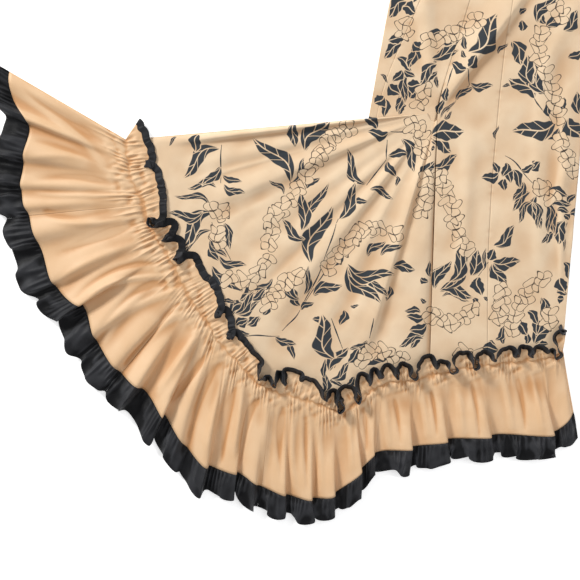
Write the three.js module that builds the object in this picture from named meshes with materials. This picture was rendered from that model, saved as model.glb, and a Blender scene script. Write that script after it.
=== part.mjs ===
// Holomuu dress laid flat on the ground, back side up, with its train spread out to the left.
//
// A fitted long dress of printed cotton: princess-seamed back, godet train let into the centre
// back seam, a gathered flounce with a bound standing header, and a gathered hem ruffle.
// Millimetres. X runs across the body, Y from the hem to the neck, Z up from the ground.
// The cloth is a thin wall through rows of points that the tables and formulas below give.

import * as THREE from 'three';

// ---------------------------------------------------------------- driving dimensions

const WALL = 1.4;                  // cloth wall
const SEAM_GAP = 0.3;              // between two pieces where they are sewn
const EDGE_GAP = 0.9;              // between two wavy edges where they are sewn
const LAYER = WALL + 0.4;          // from one layer of cloth to the next above it

const GROUND_LAYER = WALL / 2;     // middle of the wall of the front and the under layers
const BACK_LAYER = GROUND_LAYER + LAYER;
const TRAIN_LAYER = BACK_LAYER + LAYER;
const FLOUNCE_LAYER = TRAIN_LAYER + LAYER;

const HEADER_DEPTH = 44;           // flounce cloth that stands above its gathering stitches
const HEADER_LIFT = 1.4;           // how much the header's edge stands off the panel
const HEADER_WAVE = 44;            // length of a wave of its edge
const HEADER_SWING = 3.6;          // how far a wave swings in and out
const HEADER_SWAY = 1.8;           // and to either side
const HEADER_RISE = 3;             // and half of how high it stands
const BINDING_WIDTH = 15;
const BINDING_WALL = 2.2;
const RUFFLE_DEPTH = 55;
const RUFFLE_WAVES = 3;            // hem ruffle waves to one fold of the flounce
const GATHERS = 2;                 // small gathers to one fold of the flounce
const GATHER_RISE = 3.2;           // their height at the stitches
const UNDER_INSET = 6;             // the under layers stay this far inside the hem

const NECK_HALF = 85;
const NECK_SIDE_Y = 1290;
const BACK_NECK_DROP = 22;
const FRONT_NECK_DROP = 90;
const SHOULDER_SLOPE = 25 / 110;
const SLEEVE_HEM = { under: [352, 1004], over: [384, 1178] };
const SLEEVE_WIDTH = 176;          // across the flattened sleeve
const SLEEVE_CROWN = 5;            // how high the sleeve's upper layer rounds up

// The x of each body seam at a level y. The train is let into the centre back below 486.
const BODY = [
  { y: 0, leftSide: -256, leftPrincess: -196, centre: -38, rightPrincess: 90, rightSide: 251 },
  { y: 249, leftSide: -243, leftPrincess: -206, centre: -62, rightPrincess: 60, rightSide: 243 },
  { y: 486, leftSide: -231, leftPrincess: -214, centre: -84, rightPrincess: 48, rightSide: 235 },
  { y: 700, leftSide: -219, leftPrincess: -160, centre: -50, rightPrincess: 46, rightSide: 226 },
  { y: 885, leftSide: -204, leftPrincess: -98, centre: -20, rightPrincess: 58, rightSide: 200 },
  { y: 1085, leftSide: -238, leftPrincess: -98, centre: -6, rightPrincess: 86, rightSide: 236 },
  { y: 1170, leftSide: -207, leftPrincess: -108, centre: -2, rightPrincess: 104, rightSide: 205 },
  { y: 1275, leftSide: -195, leftPrincess: -116, centre: 0, rightPrincess: 116, rightSide: 195 },
];
const APEX = [-84, 486];           // tip of the godet, at row 2 of BODY
const SHOULDER_ROW = BODY.length - 1;
const UNDERARM_ROW = 5;            // row of BODY where the armhole begins
const APEX_ROW = 2;                // row of BODY where the train begins
const ARMHOLE_STEPS = 8;           // the armhole has finer steps, shared with the sleeve

// Folds of the flounce, from the train's upper end round to the right side seam. Each fold
// runs from its row to the next: g is on the gathering line, h on the hem, 'rise' its height,
// 'lean' how far its crest tips over the next fold, 'drop' how much lower its crest hangs.
const FOLDS = [
  { gx: -756, gy: 344, hx: -1028, hy: 461, rise: 12, lean: 4, drop: 4 },
  { gx: -751, gy: 318, hx: -1012, hy: 401, rise: 22, lean: 10, drop: 0 },
  { gx: -743, gy: 288, hx: -969, hy: 344, rise: 20, lean: 14, drop: 8 },
  { gx: -733, gy: 258, hx: -972, hy: 259, rise: 10, lean: 4, drop: 3 },
  { gx: -716, gy: 231, hx: -969, hy: 202, rise: 12, lean: 5, drop: 4 },
  { gx: -702, gy: 206, hx: -946, hy: 152, rise: 16, lean: 8, drop: 5 },
  { gx: -684, gy: 171, hx: -910, hy: 81, rise: 18, lean: 14, drop: 6 },
  { gx: -659, gy: 132, hx: -865, hy: 2, rise: 26, lean: 28, drop: 12 },
  { gx: -631, gy: 100, hx: -804, hy: -30, rise: 16, lean: 10, drop: 4 },
  { gx: -607, gy: 65, hx: -763, hy: -105, rise: 14, lean: 12, drop: 4 },
  { gx: -582, gy: 24, hx: -703, hy: -166, rise: 20, lean: 14, drop: 6 },
  { gx: -556, gy: -6, hx: -648, hy: -197, rise: 24, lean: 26, drop: 12 },
  { gx: -525, gy: -38, hx: -597, hy: -246, rise: 14, lean: 12, drop: 4 },
  { gx: -502, gy: -71, hx: -538, hy: -312, rise: 18, lean: 24, drop: 10 },
  { gx: -462, gy: -103, hx: -481, hy: -345, rise: 14, lean: 20, drop: 8 },
  { gx: -413, gy: -144, hx: -423, hy: -351, rise: 12, lean: 12, drop: 5 },
  { gx: -370, gy: -163, hx: -367, hy: -375, rise: 14, lean: 14, drop: 5 },
  { gx: -325, gy: -171, hx: -308, hy: -386, rise: 16, lean: 18, drop: 7 },
  { gx: -262, gy: -181, hx: -250, hy: -386, rise: 18, lean: 20, drop: 10 },
  { gx: -214, gy: -191, hx: -200, hy: -364, rise: 20, lean: 26, drop: 12 },
  { gx: -175, gy: -164, hx: -155, hy: -310, rise: 14, lean: 18, drop: 9 },
  { gx: -132, gy: -121, hx: -127, hy: -271, rise: 20, lean: 28, drop: 12 },
  { gx: -59, gy: -101, hx: -50, hy: -248, rise: 20, lean: 28, drop: 11 },
  { gx: 11, gy: -74, hx: 29, hy: -221, rise: 22, lean: 36, drop: 11 },
  { gx: 107, gy: -47, hx: 130, hy: -199, rise: 22, lean: 40, drop: 8 },
  { gx: 224, gy: -19, hx: 250, hy: -180, rise: 8, lean: 4, drop: 0 },
  { gx: 252, gy: 2, hx: 293, hy: -131, rise: 0, lean: 0, drop: 0 },
];
const LAST = FOLDS.length - 1;
const FOLD_STEPS = 8;              // columns of points to one fold
const RUFFLE_STEPS = 12;
const CENTRE_K = 22.42;            // where the centre back seam reaches the gathering line
const PRINCESS_K = 23.87;          // where the right princess seam does
const FLOUNCE_JOINS = [0, 5, 10, 16, 21, LAST];   // seams between the widths of the flounce
const UNDER_JOINS = [0, 9, 18, LAST];
const FLOUNCE_ROWS = [-1, 0, 0.2, 0.45, 0.72, 1]; // -1 header edge, 0 gathering line, 1 hem
const RUFFLE_ROWS = [0, 0.5, 1];

// Folds of the train that run out from the tip of the godet: 'at' is 0 on the upper fold
// and 1 on the centre back seam.
const TRAIN_FOLDS = [
  { at: 0.036, width: 0.03, rise: 7 },
  { at: 0.15, width: 0.04, rise: 4 },
  { at: 0.28, width: 0.045, rise: 9 },
  { at: 0.41, width: 0.04, rise: 4 },
  { at: 0.52, width: 0.05, rise: 6 },
  { at: 0.63, width: 0.04, rise: 10 },
  { at: 0.74, width: 0.04, rise: 5 },
  { at: 0.86, width: 0.05, rise: 12 },
];
const TRAIN_COLUMNS = 28;
const TRAIN_TUCK = 64;             // how far the left back's hem ends under the train
const TRAIN_ROWS = [0.04, 0.1, 0.18, 0.27, 0.36, 0.46, 0.56, 0.66, 0.76, 0.86, 1];
const SEAM_PUFF = 3.6;             // fullness of the train beside the centre back seam
const FLAT_FROM = 0.86;            // the panel lies flat under the header from here out

// Soft folds of the body: a ridge from (x0, y0) to (x1, y1), 'width' at its far end.
const BODY_FOLDS = [
  { x0: -84, y0: 500, x1: 14, y1: 790, width: 42, rise: 10 },
  { x0: -100, y0: 520, x1: -150, y1: 760, width: 26, rise: 6 },
  { x0: 30, y0: 900, x1: 130, y1: 1120, width: 30, rise: 6 },
  { x0: -40, y0: 930, x1: -140, y1: 1130, width: 28, rise: 5 },
  { x0: 150, y0: 120, x1: 138, y1: 640, width: 26, rise: 6 },
  { x0: 208, y0: 100, x1: 196, y1: 560, width: 20, rise: 7 },
  { x0: 20, y0: 110, x1: -8, y1: 440, width: 24, rise: 6 },
];

// ---------------------------------------------------------------- small mathematics

const lerp = (a, b, t) => a + (b - a) * t;
const smooth = (from, to, value) => {
  const t = Math.min(1, Math.max(0, (value - from) / (to - from)));
  return t * t * (3 - 2 * t);
};
const hump = (t) => Math.sin(Math.PI * t) ** 2;
const bell = (distance, width) => Math.exp(-((distance / width) ** 2));
const unit = (x, y) => {
  const size = Math.hypot(x, y);
  return [x / size, y / size];
};
const steps = (count) => Array.from({ length: count + 1 }, (_, i) => i / count);

// A smooth curve through the named column of a table, read at a fractional row.
function column(table, name, row) {
  const top = table.length - 1;
  const i = Math.min(top - 1, Math.max(0, Math.floor(row)));
  const t = row - i;
  const at = (j) => table[Math.min(top, Math.max(0, j))][name];
  const [a, b, c, d] = [at(i - 1), at(i), at(i + 1), at(i + 2)];
  return b + 0.5 * t * (c - a + t * (2 * a - 5 * b + 4 * c - d + t * (3 * (b - c) + d - a)));
}

// ---------------------------------------------------------------- walls of cloth

// A closed wall through rows of points on a sheet, where pointAt(row, column) is the middle
// of the cloth. With a reach, the wall is measured square to the sheet, whose slope is read
// that far to either side; without one it is measured straight up, so edges stay as drawn.
function wallFromSheet(pointAt, rowPlaces, columnPlaces, thickness, reach) {
  const rows = rowPlaces.length;
  const columns = columnPlaces.length;
  const slopeAt = (row, column) => {
    const step = reach ?? [1e-3, 1e-3];
    const along = pointAt(row, column + step[1]).sub(pointAt(row, column - step[1]));
    const across = pointAt(row + step[0], column).sub(pointAt(row - step[0], column));
    return along.cross(across).normalize();
  };
  const facing = Math.sign(slopeAt(rowPlaces[rows >> 1], columnPlaces[0]).z);
  const upright = new THREE.Vector3(0, 0, 1);
  const vertices = [];
  const triangles = [];
  for (const side of [1, -1]) {
    for (const row of rowPlaces) {
      for (const place of columnPlaces) {
        const normal = reach ? slopeAt(row, place).multiplyScalar(facing) : upright;
        vertices.push(...pointAt(row, place).addScaledVector(normal, side * thickness / 2).toArray());
      }
    }
  }
  const top = (r, c) => r * columns + c;
  const low = (r, c) => rows * columns + top(r, c);
  const quad = (a, b, c, d) => {
    if (facing > 0) triangles.push(a, b, c, a, c, d);
    else triangles.push(a, c, b, a, d, c);
  };
  for (let r = 0; r < rows - 1; r += 1) {
    for (let c = 0; c < columns - 1; c += 1) {
      quad(top(r, c), top(r, c + 1), top(r + 1, c + 1), top(r + 1, c));
      quad(low(r, c), low(r + 1, c), low(r + 1, c + 1), low(r, c + 1));
    }
  }
  for (let c = 0; c < columns - 1; c += 1) {
    quad(top(0, c), low(0, c), low(0, c + 1), top(0, c + 1));
    quad(top(rows - 1, c), top(rows - 1, c + 1), low(rows - 1, c + 1), low(rows - 1, c));
  }
  for (let r = 0; r < rows - 1; r += 1) {
    quad(top(r, 0), top(r + 1, 0), low(r + 1, 0), low(r, 0));
    quad(top(r, columns - 1), low(r, columns - 1), low(r + 1, columns - 1), top(r + 1, columns - 1));
  }
  return closedGeometry(vertices, triangles);
}

function closedGeometry(vertices, triangles) {
  const geometry = new THREE.BufferGeometry();
  geometry.setAttribute('position', new THREE.Float32BufferAttribute(vertices, 3));
  geometry.setIndex(triangles);
  geometry.computeVertexNormals();
  return geometry;
}

// A flat plate of cloth on the ground inside an outline of [x, y] points.
function plate(outline) {
  const shape = new THREE.Shape(outline.map(([x, y]) => new THREE.Vector2(x, y)));
  return new THREE.ExtrudeGeometry(shape, { depth: WALL, bevelEnabled: false });
}

// ---------------------------------------------------------------- lines of the garment

const gatherPoint = (k) => [column(FOLDS, 'gx', k), column(FOLDS, 'gy', k)];
const hemPoint = (k) => [column(FOLDS, 'hx', k), column(FOLDS, 'hy', k)];

// Two steps to a fold, for the plain layers on the ground, whose edges then run together.
const halfFolds = (from, to) => steps(2 * (to - from)).map((t) => lerp(from, to, t));

// From the gathering line out to the hem.
function outward(k) {
  const [gx, gy] = gatherPoint(k);
  const [hx, hy] = hemPoint(k);
  return unit(hx - gx, hy - gy);
}

// Along the hem, towards the right side seam.
function alongHem(k) {
  const [ax, ay] = hemPoint(Math.max(0, k - 0.5));
  const [bx, by] = hemPoint(Math.min(LAST, k + 0.5));
  return unit(bx - ax, by - ay);
}

// Square to the gathering line, in over the panel.
function inward(k) {
  const middle = Math.min(LAST - 1, Math.max(1, k));
  const [ax, ay] = gatherPoint(middle - 1);
  const [bx, by] = gatherPoint(middle + 1);
  return unit(ay - by, bx - ax);
}

// Rows of points up the body: half rows of the table, and finer ones round the armhole.
const armholeRow = (w) => lerp(UNDERARM_ROW, SHOULDER_ROW, w);
const bodyRows = [
  ...steps(2 * UNDERARM_ROW).map((v) => v * UNDERARM_ROW),
  ...steps(ARMHOLE_STEPS).slice(1).map(armholeRow),
];

function neckLine(x, drop) {
  const side = Math.abs(x);
  if (side < NECK_HALF) return NECK_SIDE_Y - drop * (1 - (side / NECK_HALF) ** 2);
  return NECK_SIDE_Y - (side - NECK_HALF) * SHOULDER_SLOPE;
}

// The level of a row at x: level across the body, rising to the neck and shoulder line.
function bodyLevel(x, row) {
  const y = column(BODY, 'y', row);
  const rise = neckLine(x, BACK_NECK_DROP) - BODY[SHOULDER_ROW].y;
  return y + rise * smooth(UNDERARM_ROW, SHOULDER_ROW, row);
}

// The centre back seam: straight from the tip of the godet to the gathering line.
function centreSeam(row) {
  if (row >= APEX_ROW) return column(BODY, 'centre', row);
  const [gx, gy] = gatherPoint(CENTRE_K);
  const y = column(BODY, 'y', row) + gy * (1 - smooth(0, APEX_ROW, row));
  return lerp(APEX[0], gx, (APEX[1] - y) / (APEX[1] - gy));
}

// ---------------------------------------------------------------- body

function bodyFold(x, y) {
  let height = 0;
  for (const fold of BODY_FOLDS) {
    const [dx, dy] = unit(fold.x1 - fold.x0, fold.y1 - fold.y0);
    const length = Math.hypot(fold.x1 - fold.x0, fold.y1 - fold.y0);
    const along = ((x - fold.x0) * dx + (y - fold.y0) * dy) / length;
    const off = (x - fold.x0) * -dy + (y - fold.y0) * dx;
    const width = lerp(fold.width * 0.4, fold.width, Math.min(1, Math.max(0, along)));
    height += fold.rise * bell(off, width) * smooth(0, 0.3, along) * (1 - smooth(0.8, 1.25, along));
  }
  return height;
}

// A back panel between two seams. The right-hand panels end on the gathering line between
// 'fromK' and 'toK'; the left-hand ones end plainly under the train.
function bodyPanel({ left, right, columns, leftGap, rightGap, tuck, fromK, toK }) {
  const edges = (row) => [
    (left === 'centre' ? centreSeam(row) : column(BODY, left, row)) + leftGap,
    column(BODY, right, row) - rightGap - tuck * Math.max(0, 1 - row / APEX_ROW),
  ];
  const pointAt = (row, u) => {
    let x = lerp(...edges(row), u);
    let y = bodyLevel(x, row);
    if (fromK === undefined) {
      return new THREE.Vector3(x, y, BACK_LAYER + bodyFold(x, y) * smooth(500, 560, y));
    }
    const nearGather = 1 - smooth(0, APEX_ROW, row);
    const [gx, gy] = gatherPoint(lerp(fromK, toK, u));
    x += (gx - lerp(...edges(0), u)) * nearGather;
    y += (gy - BODY[0].y) * nearGather;
    const z = lerp(TRAIN_LAYER, BACK_LAYER, smooth(0.35, 0.85, row));
    return new THREE.Vector3(x, y, z + bodyFold(x, y) * smooth(0.4, 1.1, row));
  };
  return wallFromSheet(pointAt, bodyRows, steps(columns), WALL);
}

const half = SEAM_GAP / 2;
const BODY_PANELS = [
  { name: 'side_back_left', left: 'leftSide', right: 'leftPrincess', columns: 3, leftGap: 0,
    rightGap: half, tuck: 0 },
  { name: 'centre_back_left', left: 'leftPrincess', right: 'centre', columns: 5, leftGap: half,
    rightGap: half, tuck: TRAIN_TUCK },
  { name: 'centre_back_right', left: 'centre', right: 'rightPrincess', columns: 6, leftGap: half,
    rightGap: half, tuck: 0, fromK: CENTRE_K, toK: PRINCESS_K },
  { name: 'side_back_right', left: 'rightPrincess', right: 'rightSide', columns: 6, leftGap: half,
    rightGap: 0, tuck: 0, fromK: PRINCESS_K, toK: LAST },
];

// The whole front, flat on the ground under the back. Its lower left corner ends plainly
// under the train.
function frontPanel() {
  const edge = (name, lowest) => bodyRows.filter((row) => row >= lowest).map((row) => {
    const x = column(BODY, name, row);
    return [x, bodyLevel(x, row)];
  });
  const hem = [CENTRE_K, ...halfFolds(Math.ceil(2 * CENTRE_K) / 2, LAST)].map(gatherPoint);
  const neck = steps(12).map((t) => lerp(NECK_HALF, -NECK_HALF, t))
    .map((x) => [x, neckLine(x, FRONT_NECK_DROP)]);
  return plate([...hem, ...edge('rightSide', 0.5), ...neck, ...edge('leftSide', 0).reverse()]);
}

// ---------------------------------------------------------------- train

function trainFold(u, r) {
  let height = 0;
  for (const fold of TRAIN_FOLDS) height += fold.rise * bell(u - fold.at, fold.width);
  return height * smooth(0.02, 0.3, r) * (1 - smooth(FLAT_FROM - 0.2, FLAT_FROM, r));
}

function trainPoint(r, u) {
  const [gx, gy] = gatherPoint(u * CENTRE_K);
  const x = lerp(APEX[0], gx, r);
  const y = lerp(APEX[1], gy, r);
  const underHeader = smooth(FLAT_FROM, 1, r);
  if (u === 1) return new THREE.Vector3(x - SEAM_GAP, y, lerp(BACK_LAYER, TRAIN_LAYER, underHeader));
  const puff = SEAM_PUFF * smooth(0.9, 0.96, u) * (1 - underHeader);
  const onGround = u === 0 ? smooth(0.3, 0.42, r) * (1 - underHeader) : 0;
  return new THREE.Vector3(x, y, lerp(TRAIN_LAYER, BACK_LAYER, onGround) + puff + trainFold(u, r));
}

const trainPanel = () => wallFromSheet(trainPoint, TRAIN_ROWS, steps(TRAIN_COLUMNS), WALL);

// The under half of the train, flat on the ground from its upper fold to the body's side.
function trainUnder() {
  const fold = [0.3, 0.5, 0.7, 0.9].map((r) => {
    const [gx, gy] = gatherPoint(0);
    return [lerp(APEX[0], gx, r), lerp(APEX[1], gy, r)];
  });
  const gather = [...halfFolds(0, Math.floor(CENTRE_K)), CENTRE_K - 0.02].map(gatherPoint);
  const side = steps(8).map((t) => t * 1.85)
    .map((row) => [column(BODY, 'leftSide', row) - 1, column(BODY, 'y', row)]);
  const front = [[BODY[0].leftSide - 1, -1.2]];
  return plate([...fold, ...gather, ...front, ...side.slice(1)]);
}

// ---------------------------------------------------------------- flounce, binding, ruffle

// Length of the gathering line up to k, for waves that keep their size all along it.
const gatherLengths = [0];
for (let i = 1; i <= LAST; i += 1) {
  const [ax, ay] = gatherPoint(i - 1);
  const [bx, by] = gatherPoint(i);
  gatherLengths.push(gatherLengths[i - 1] + Math.hypot(bx - ax, by - ay));
}
function gatherLength(k) {
  const i = Math.min(LAST - 1, Math.max(0, Math.floor(k)));
  return lerp(gatherLengths[i], gatherLengths[i + 1], k - i);
}

function headerWave(k, shift) {
  const s = gatherLength(k) / HEADER_WAVE + shift;
  return Math.sin(2 * Math.PI * (s + 0.12 * Math.sin(2.2 * s)));
}

// A point of the flounce: v is -1 on the header's edge, 0 on the gathers, 1 on the hem.
function flouncePoint(v, k) {
  const i = Math.min(LAST - 1, Math.max(0, Math.floor(k)));
  const t = k - i;
  const fold = FOLDS[i];
  const [gx, gy] = gatherPoint(k);
  const [ex, ey] = alongHem(k);
  const gathers = GATHER_RISE * hump(GATHERS * t);
  if (v <= 0) {
    const [nx, ny] = inward(k);
    const depth = -v * (HEADER_DEPTH + HEADER_SWING * headerWave(k, 0));
    const sway = -v * HEADER_SWAY * headerWave(k, 0.25);
    const lift = -v * (HEADER_LIFT + HEADER_RISE * (1 + headerWave(k, 0.4)));
    const z = FLOUNCE_LAYER + gathers * (1 + 0.5 * v) + lift;
    return new THREE.Vector3(gx + nx * depth + ex * sway, gy + ny * depth + ey * sway, z);
  }
  const [hx, hy] = hemPoint(k);
  const [ox, oy] = outward(k);
  const bump = hump(t);
  const lean = fold.lean * bump * v;
  const drop = fold.drop * bump * v;
  const base = lerp(FLOUNCE_LAYER, BACK_LAYER, smooth(0, 0.4, v));
  const z = base + gathers * (1 - smooth(0, 0.7, v)) + fold.rise * bump * smooth(-0.1, 0.9, v);
  const x = lerp(gx, hx, v) + ex * lean + ox * drop;
  const y = lerp(gy, hy, v) + ey * lean + oy * drop;
  return new THREE.Vector3(x, y, z);
}

// Columns from one join to the next, each piece ending a little before the join.
function foldColumns(from, to, perFold) {
  const gap = 0.008;
  return steps((to - from) * perFold)
    .map((t) => lerp(from + (from > 0 ? gap : 0), to - (to < LAST ? gap : 0), t));
}

const FLOUNCE_REACH = [0.05, 0.5 / FOLD_STEPS];

const flounce = (from, to) => wallFromSheet(flouncePoint, FLOUNCE_ROWS,
  foldColumns(from, to, FOLD_STEPS), WALL, FLOUNCE_REACH);

// The binding carries on from the header's edge, in over the panel.
const bindingRows = [EDGE_GAP + BINDING_WIDTH, EDGE_GAP].map((out) => -1 - out / HEADER_DEPTH);
const binding = (from, to) => wallFromSheet(flouncePoint, bindingRows,
  foldColumns(from, to, FOLD_STEPS), BINDING_WALL, FLOUNCE_REACH);

// The hem ruffle starts on the straight runs between the flounce's own hem points.
function rufflePoint(w, k) {
  const step = Math.min(LAST * FOLD_STEPS - 1, Math.max(0, Math.floor(k * FOLD_STEPS + 1e-9)));
  const share = k * FOLD_STEPS - step;
  const start = flouncePoint(1, step / FOLD_STEPS).lerp(flouncePoint(1, (step + 1) / FOLD_STEPS), share);
  const fold = FOLDS[Math.min(LAST - 1, Math.max(0, Math.floor(k)))];
  const [ox, oy] = outward(k);
  const size = Math.max(2.6, Math.min(5, fold.rise * 0.3, 90 / (fold.lean + 8)));
  const out = EDGE_GAP + w * (RUFFLE_DEPTH + 3 * Math.sin(5 * k));
  const sink = (start.z - BACK_LAYER) * 0.35 * w;
  return start.add(new THREE.Vector3(ox * out, oy * out, size * hump(RUFFLE_WAVES * k) * w - sink));
}

const hemRuffle = (from, to) => wallFromSheet(rufflePoint, RUFFLE_ROWS,
  foldColumns(from, to, RUFFLE_STEPS), WALL, [0.1, 0.5 / RUFFLE_STEPS]);

// Plain under layers of the flounce and the ruffle, flat on the ground.
function underBand(from, to, near, far) {
  const ks = foldColumns(from, to, 2);
  const inner = ks.map((k) => near(k));
  const outer = ks.map((k) => far(k)).reverse();
  return plate([...inner, ...outer]);
}

function fromLine(point, k, distance) {
  const [x, y] = point(k);
  const [ox, oy] = outward(k);
  return [x + ox * distance, y + oy * distance];
}

const flounceUnder = (from, to) => underBand(from, to,
  (k) => fromLine(gatherPoint, k, EDGE_GAP), (k) => fromLine(hemPoint, k, -UNDER_INSET));
const ruffleUnder = (from, to) => underBand(from, to,
  (k) => fromLine(hemPoint, k, EDGE_GAP - UNDER_INSET),
  (k) => fromLine(hemPoint, k, RUFFLE_DEPTH - UNDER_INSET));

// ---------------------------------------------------------------- sleeves

// A short sleeve as a flattened tube: a ring of points round it at each step of its length.
function sleeve(side) {
  const armhole = (w) => {
    const x = Math.abs(column(BODY, side < 0 ? 'leftSide' : 'rightSide', armholeRow(w)));
    return [x + 2 * SEAM_GAP, bodyLevel(x, armholeRow(w))];
  };
  const hem = (w) => [0, 1].map((axis) => lerp(SLEEVE_HEM.under[axis], SLEEVE_HEM.over[axis], w));
  const ring = (q, inset) => [0, 1].flatMap((upper) => steps(ARMHOLE_STEPS).map((t) => {
    const share = upper ? 1 - t : t;
    const w = lerp(inset / SLEEVE_WIDTH, 1 - inset / SLEEVE_WIDTH, share);
    const [ax, ay] = armhole(w);
    const [hx, hy] = hem(w);
    const crown = SLEEVE_CROWN * hump(share) * smooth(0, 0.4, q);
    const z = upper ? WALL + LAYER - inset + crown : inset;
    return new THREE.Vector3(side * lerp(ax, hx, q), lerp(ay, hy, q), z);
  }));
  const stations = steps(6);
  const rings = [...stations.map((q) => ring(q, 0)), ...stations.reverse().map((q) => ring(q, WALL))];
  const around = rings[0].length;
  const vertices = rings.flat().flatMap((p) => [p.x, p.y, p.z]);
  const triangles = [];
  rings.forEach((_, r) => {
    const next = (r + 1) % rings.length;
    for (let i = 0; i < around; i += 1) {
      const j = (i + 1) % around;
      const [a, b, c, d] = [r * around + i, r * around + j, next * around + j, next * around + i];
      if (side > 0) triangles.push(a, b, c, a, c, d);
      else triangles.push(a, c, b, a, d, c);
    }
  });
  return closedGeometry(vertices, triangles);
}

// ---------------------------------------------------------------- finishes

const printedCotton = () => new THREE.MeshStandardMaterial({ color: 0xe9cba4, roughness: 0.75 });
const plainCotton = () => new THREE.MeshStandardMaterial({ color: 0xedcfa9, roughness: 0.75 });
const blackCotton = () => new THREE.MeshStandardMaterial({ color: 0x232327, roughness: 0.7 });

// ---------------------------------------------------------------- the garment

const garment = new THREE.Group();

function addPiece(name, geometry, finish) {
  const mesh = new THREE.Mesh(geometry, finish());
  mesh.name = name;
  garment.add(mesh);
}

addPiece('front_panel', frontPanel(), printedCotton);
for (const panel of BODY_PANELS) addPiece(panel.name, bodyPanel(panel), printedCotton);
addPiece('sleeve_left', sleeve(-1), printedCotton);
addPiece('sleeve_right', sleeve(1), printedCotton);
addPiece('train_panel', trainPanel(), printedCotton);
addPiece('train_under', trainUnder(), printedCotton);
for (let i = 1; i < UNDER_JOINS.length; i += 1) {
  const [from, to] = [UNDER_JOINS[i - 1], UNDER_JOINS[i]];
  addPiece(`flounce_under_${i}`, flounceUnder(from, to), plainCotton);
  addPiece(`hem_ruffle_under_${i}`, ruffleUnder(from, to), blackCotton);
}
for (let i = 1; i < FLOUNCE_JOINS.length; i += 1) {
  const [from, to] = [FLOUNCE_JOINS[i - 1], FLOUNCE_JOINS[i]];
  addPiece(`flounce_${i}`, flounce(from, to), plainCotton);
  addPiece(`header_binding_${i}`, binding(from, to), blackCotton);
  addPiece(`hem_ruffle_${i}`, hemRuffle(from, to), blackCotton);
}

// The dress stands on its reference point: the middle of its box, on the ground.
const box = new THREE.Box3().setFromObject(garment);
const middle = box.getCenter(new THREE.Vector3());
garment.position.set(-middle.x, -middle.y, -box.min.z);

export default garment;
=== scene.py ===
import math

import bpy
import numpy as np
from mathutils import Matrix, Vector


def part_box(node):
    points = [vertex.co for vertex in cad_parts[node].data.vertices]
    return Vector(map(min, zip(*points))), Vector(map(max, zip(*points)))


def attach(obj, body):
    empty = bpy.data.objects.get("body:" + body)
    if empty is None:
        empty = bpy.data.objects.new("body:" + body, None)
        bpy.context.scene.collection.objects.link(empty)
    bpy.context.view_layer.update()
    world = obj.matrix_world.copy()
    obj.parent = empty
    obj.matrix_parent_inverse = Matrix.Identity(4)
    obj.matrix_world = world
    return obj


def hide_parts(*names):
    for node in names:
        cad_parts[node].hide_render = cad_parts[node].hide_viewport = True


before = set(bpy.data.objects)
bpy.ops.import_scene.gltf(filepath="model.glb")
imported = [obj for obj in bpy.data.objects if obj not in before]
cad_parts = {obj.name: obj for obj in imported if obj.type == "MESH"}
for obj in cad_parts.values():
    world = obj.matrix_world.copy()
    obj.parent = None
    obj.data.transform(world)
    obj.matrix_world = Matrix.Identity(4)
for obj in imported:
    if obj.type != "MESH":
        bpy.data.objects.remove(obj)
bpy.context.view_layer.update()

# ---------------------------------------------------------------- the front
# The front of the dress is one piece of printed cotton. It lies flat on the ground under
# everything else, cut to the body's side seams, the neck and the line of the flounce.
# The dress is drawn in millimetres: x runs across the body, y up from the hem to the neck.

MM = 0.001
CLOTH = 0.7  # thickness of the cotton
WALL = 1.4  # thickness of the solid that each sheet stands for
LAYER = 1.8  # from one layer of cloth to the next above it
GROUND = WALL / 2
BACK = GROUND + LAYER
TRAIN = BACK + LAYER
FLOUNCE = TRAIN + LAYER
NECK_HALF, NECK_SIDE = 85, 1290
BACK_NECK_DROP, FRONT_NECK_DROP = 22, 90
SHOULDER_SLOPE = 25 / 110


def table(names, *rows):
    """Columns by name, from rows of numbers."""
    return dict(zip(names.split(), np.array(rows, float).T))


# The x of each body seam at a level y.
BODY = table(
    "y left_side left_princess centre right_princess right_side",
    (0, -256, -196, -38, 90, 251),
    (249, -243, -206, -62, 60, 243),
    (486, -231, -214, -84, 48, 235),
    (700, -219, -160, -50, 46, 226),
    (885, -204, -98, -20, 58, 200),
    (1085, -238, -98, -6, 86, 236),
    (1170, -207, -108, -2, 104, 205),
    (1275, -195, -116, 0, 116, 195),
)
APEX, APEX_ROW = (-84, 486), 2  # tip of the godet that makes the train
UNDERARM_ROW, SHOULDER_ROW = 5, 7

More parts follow.
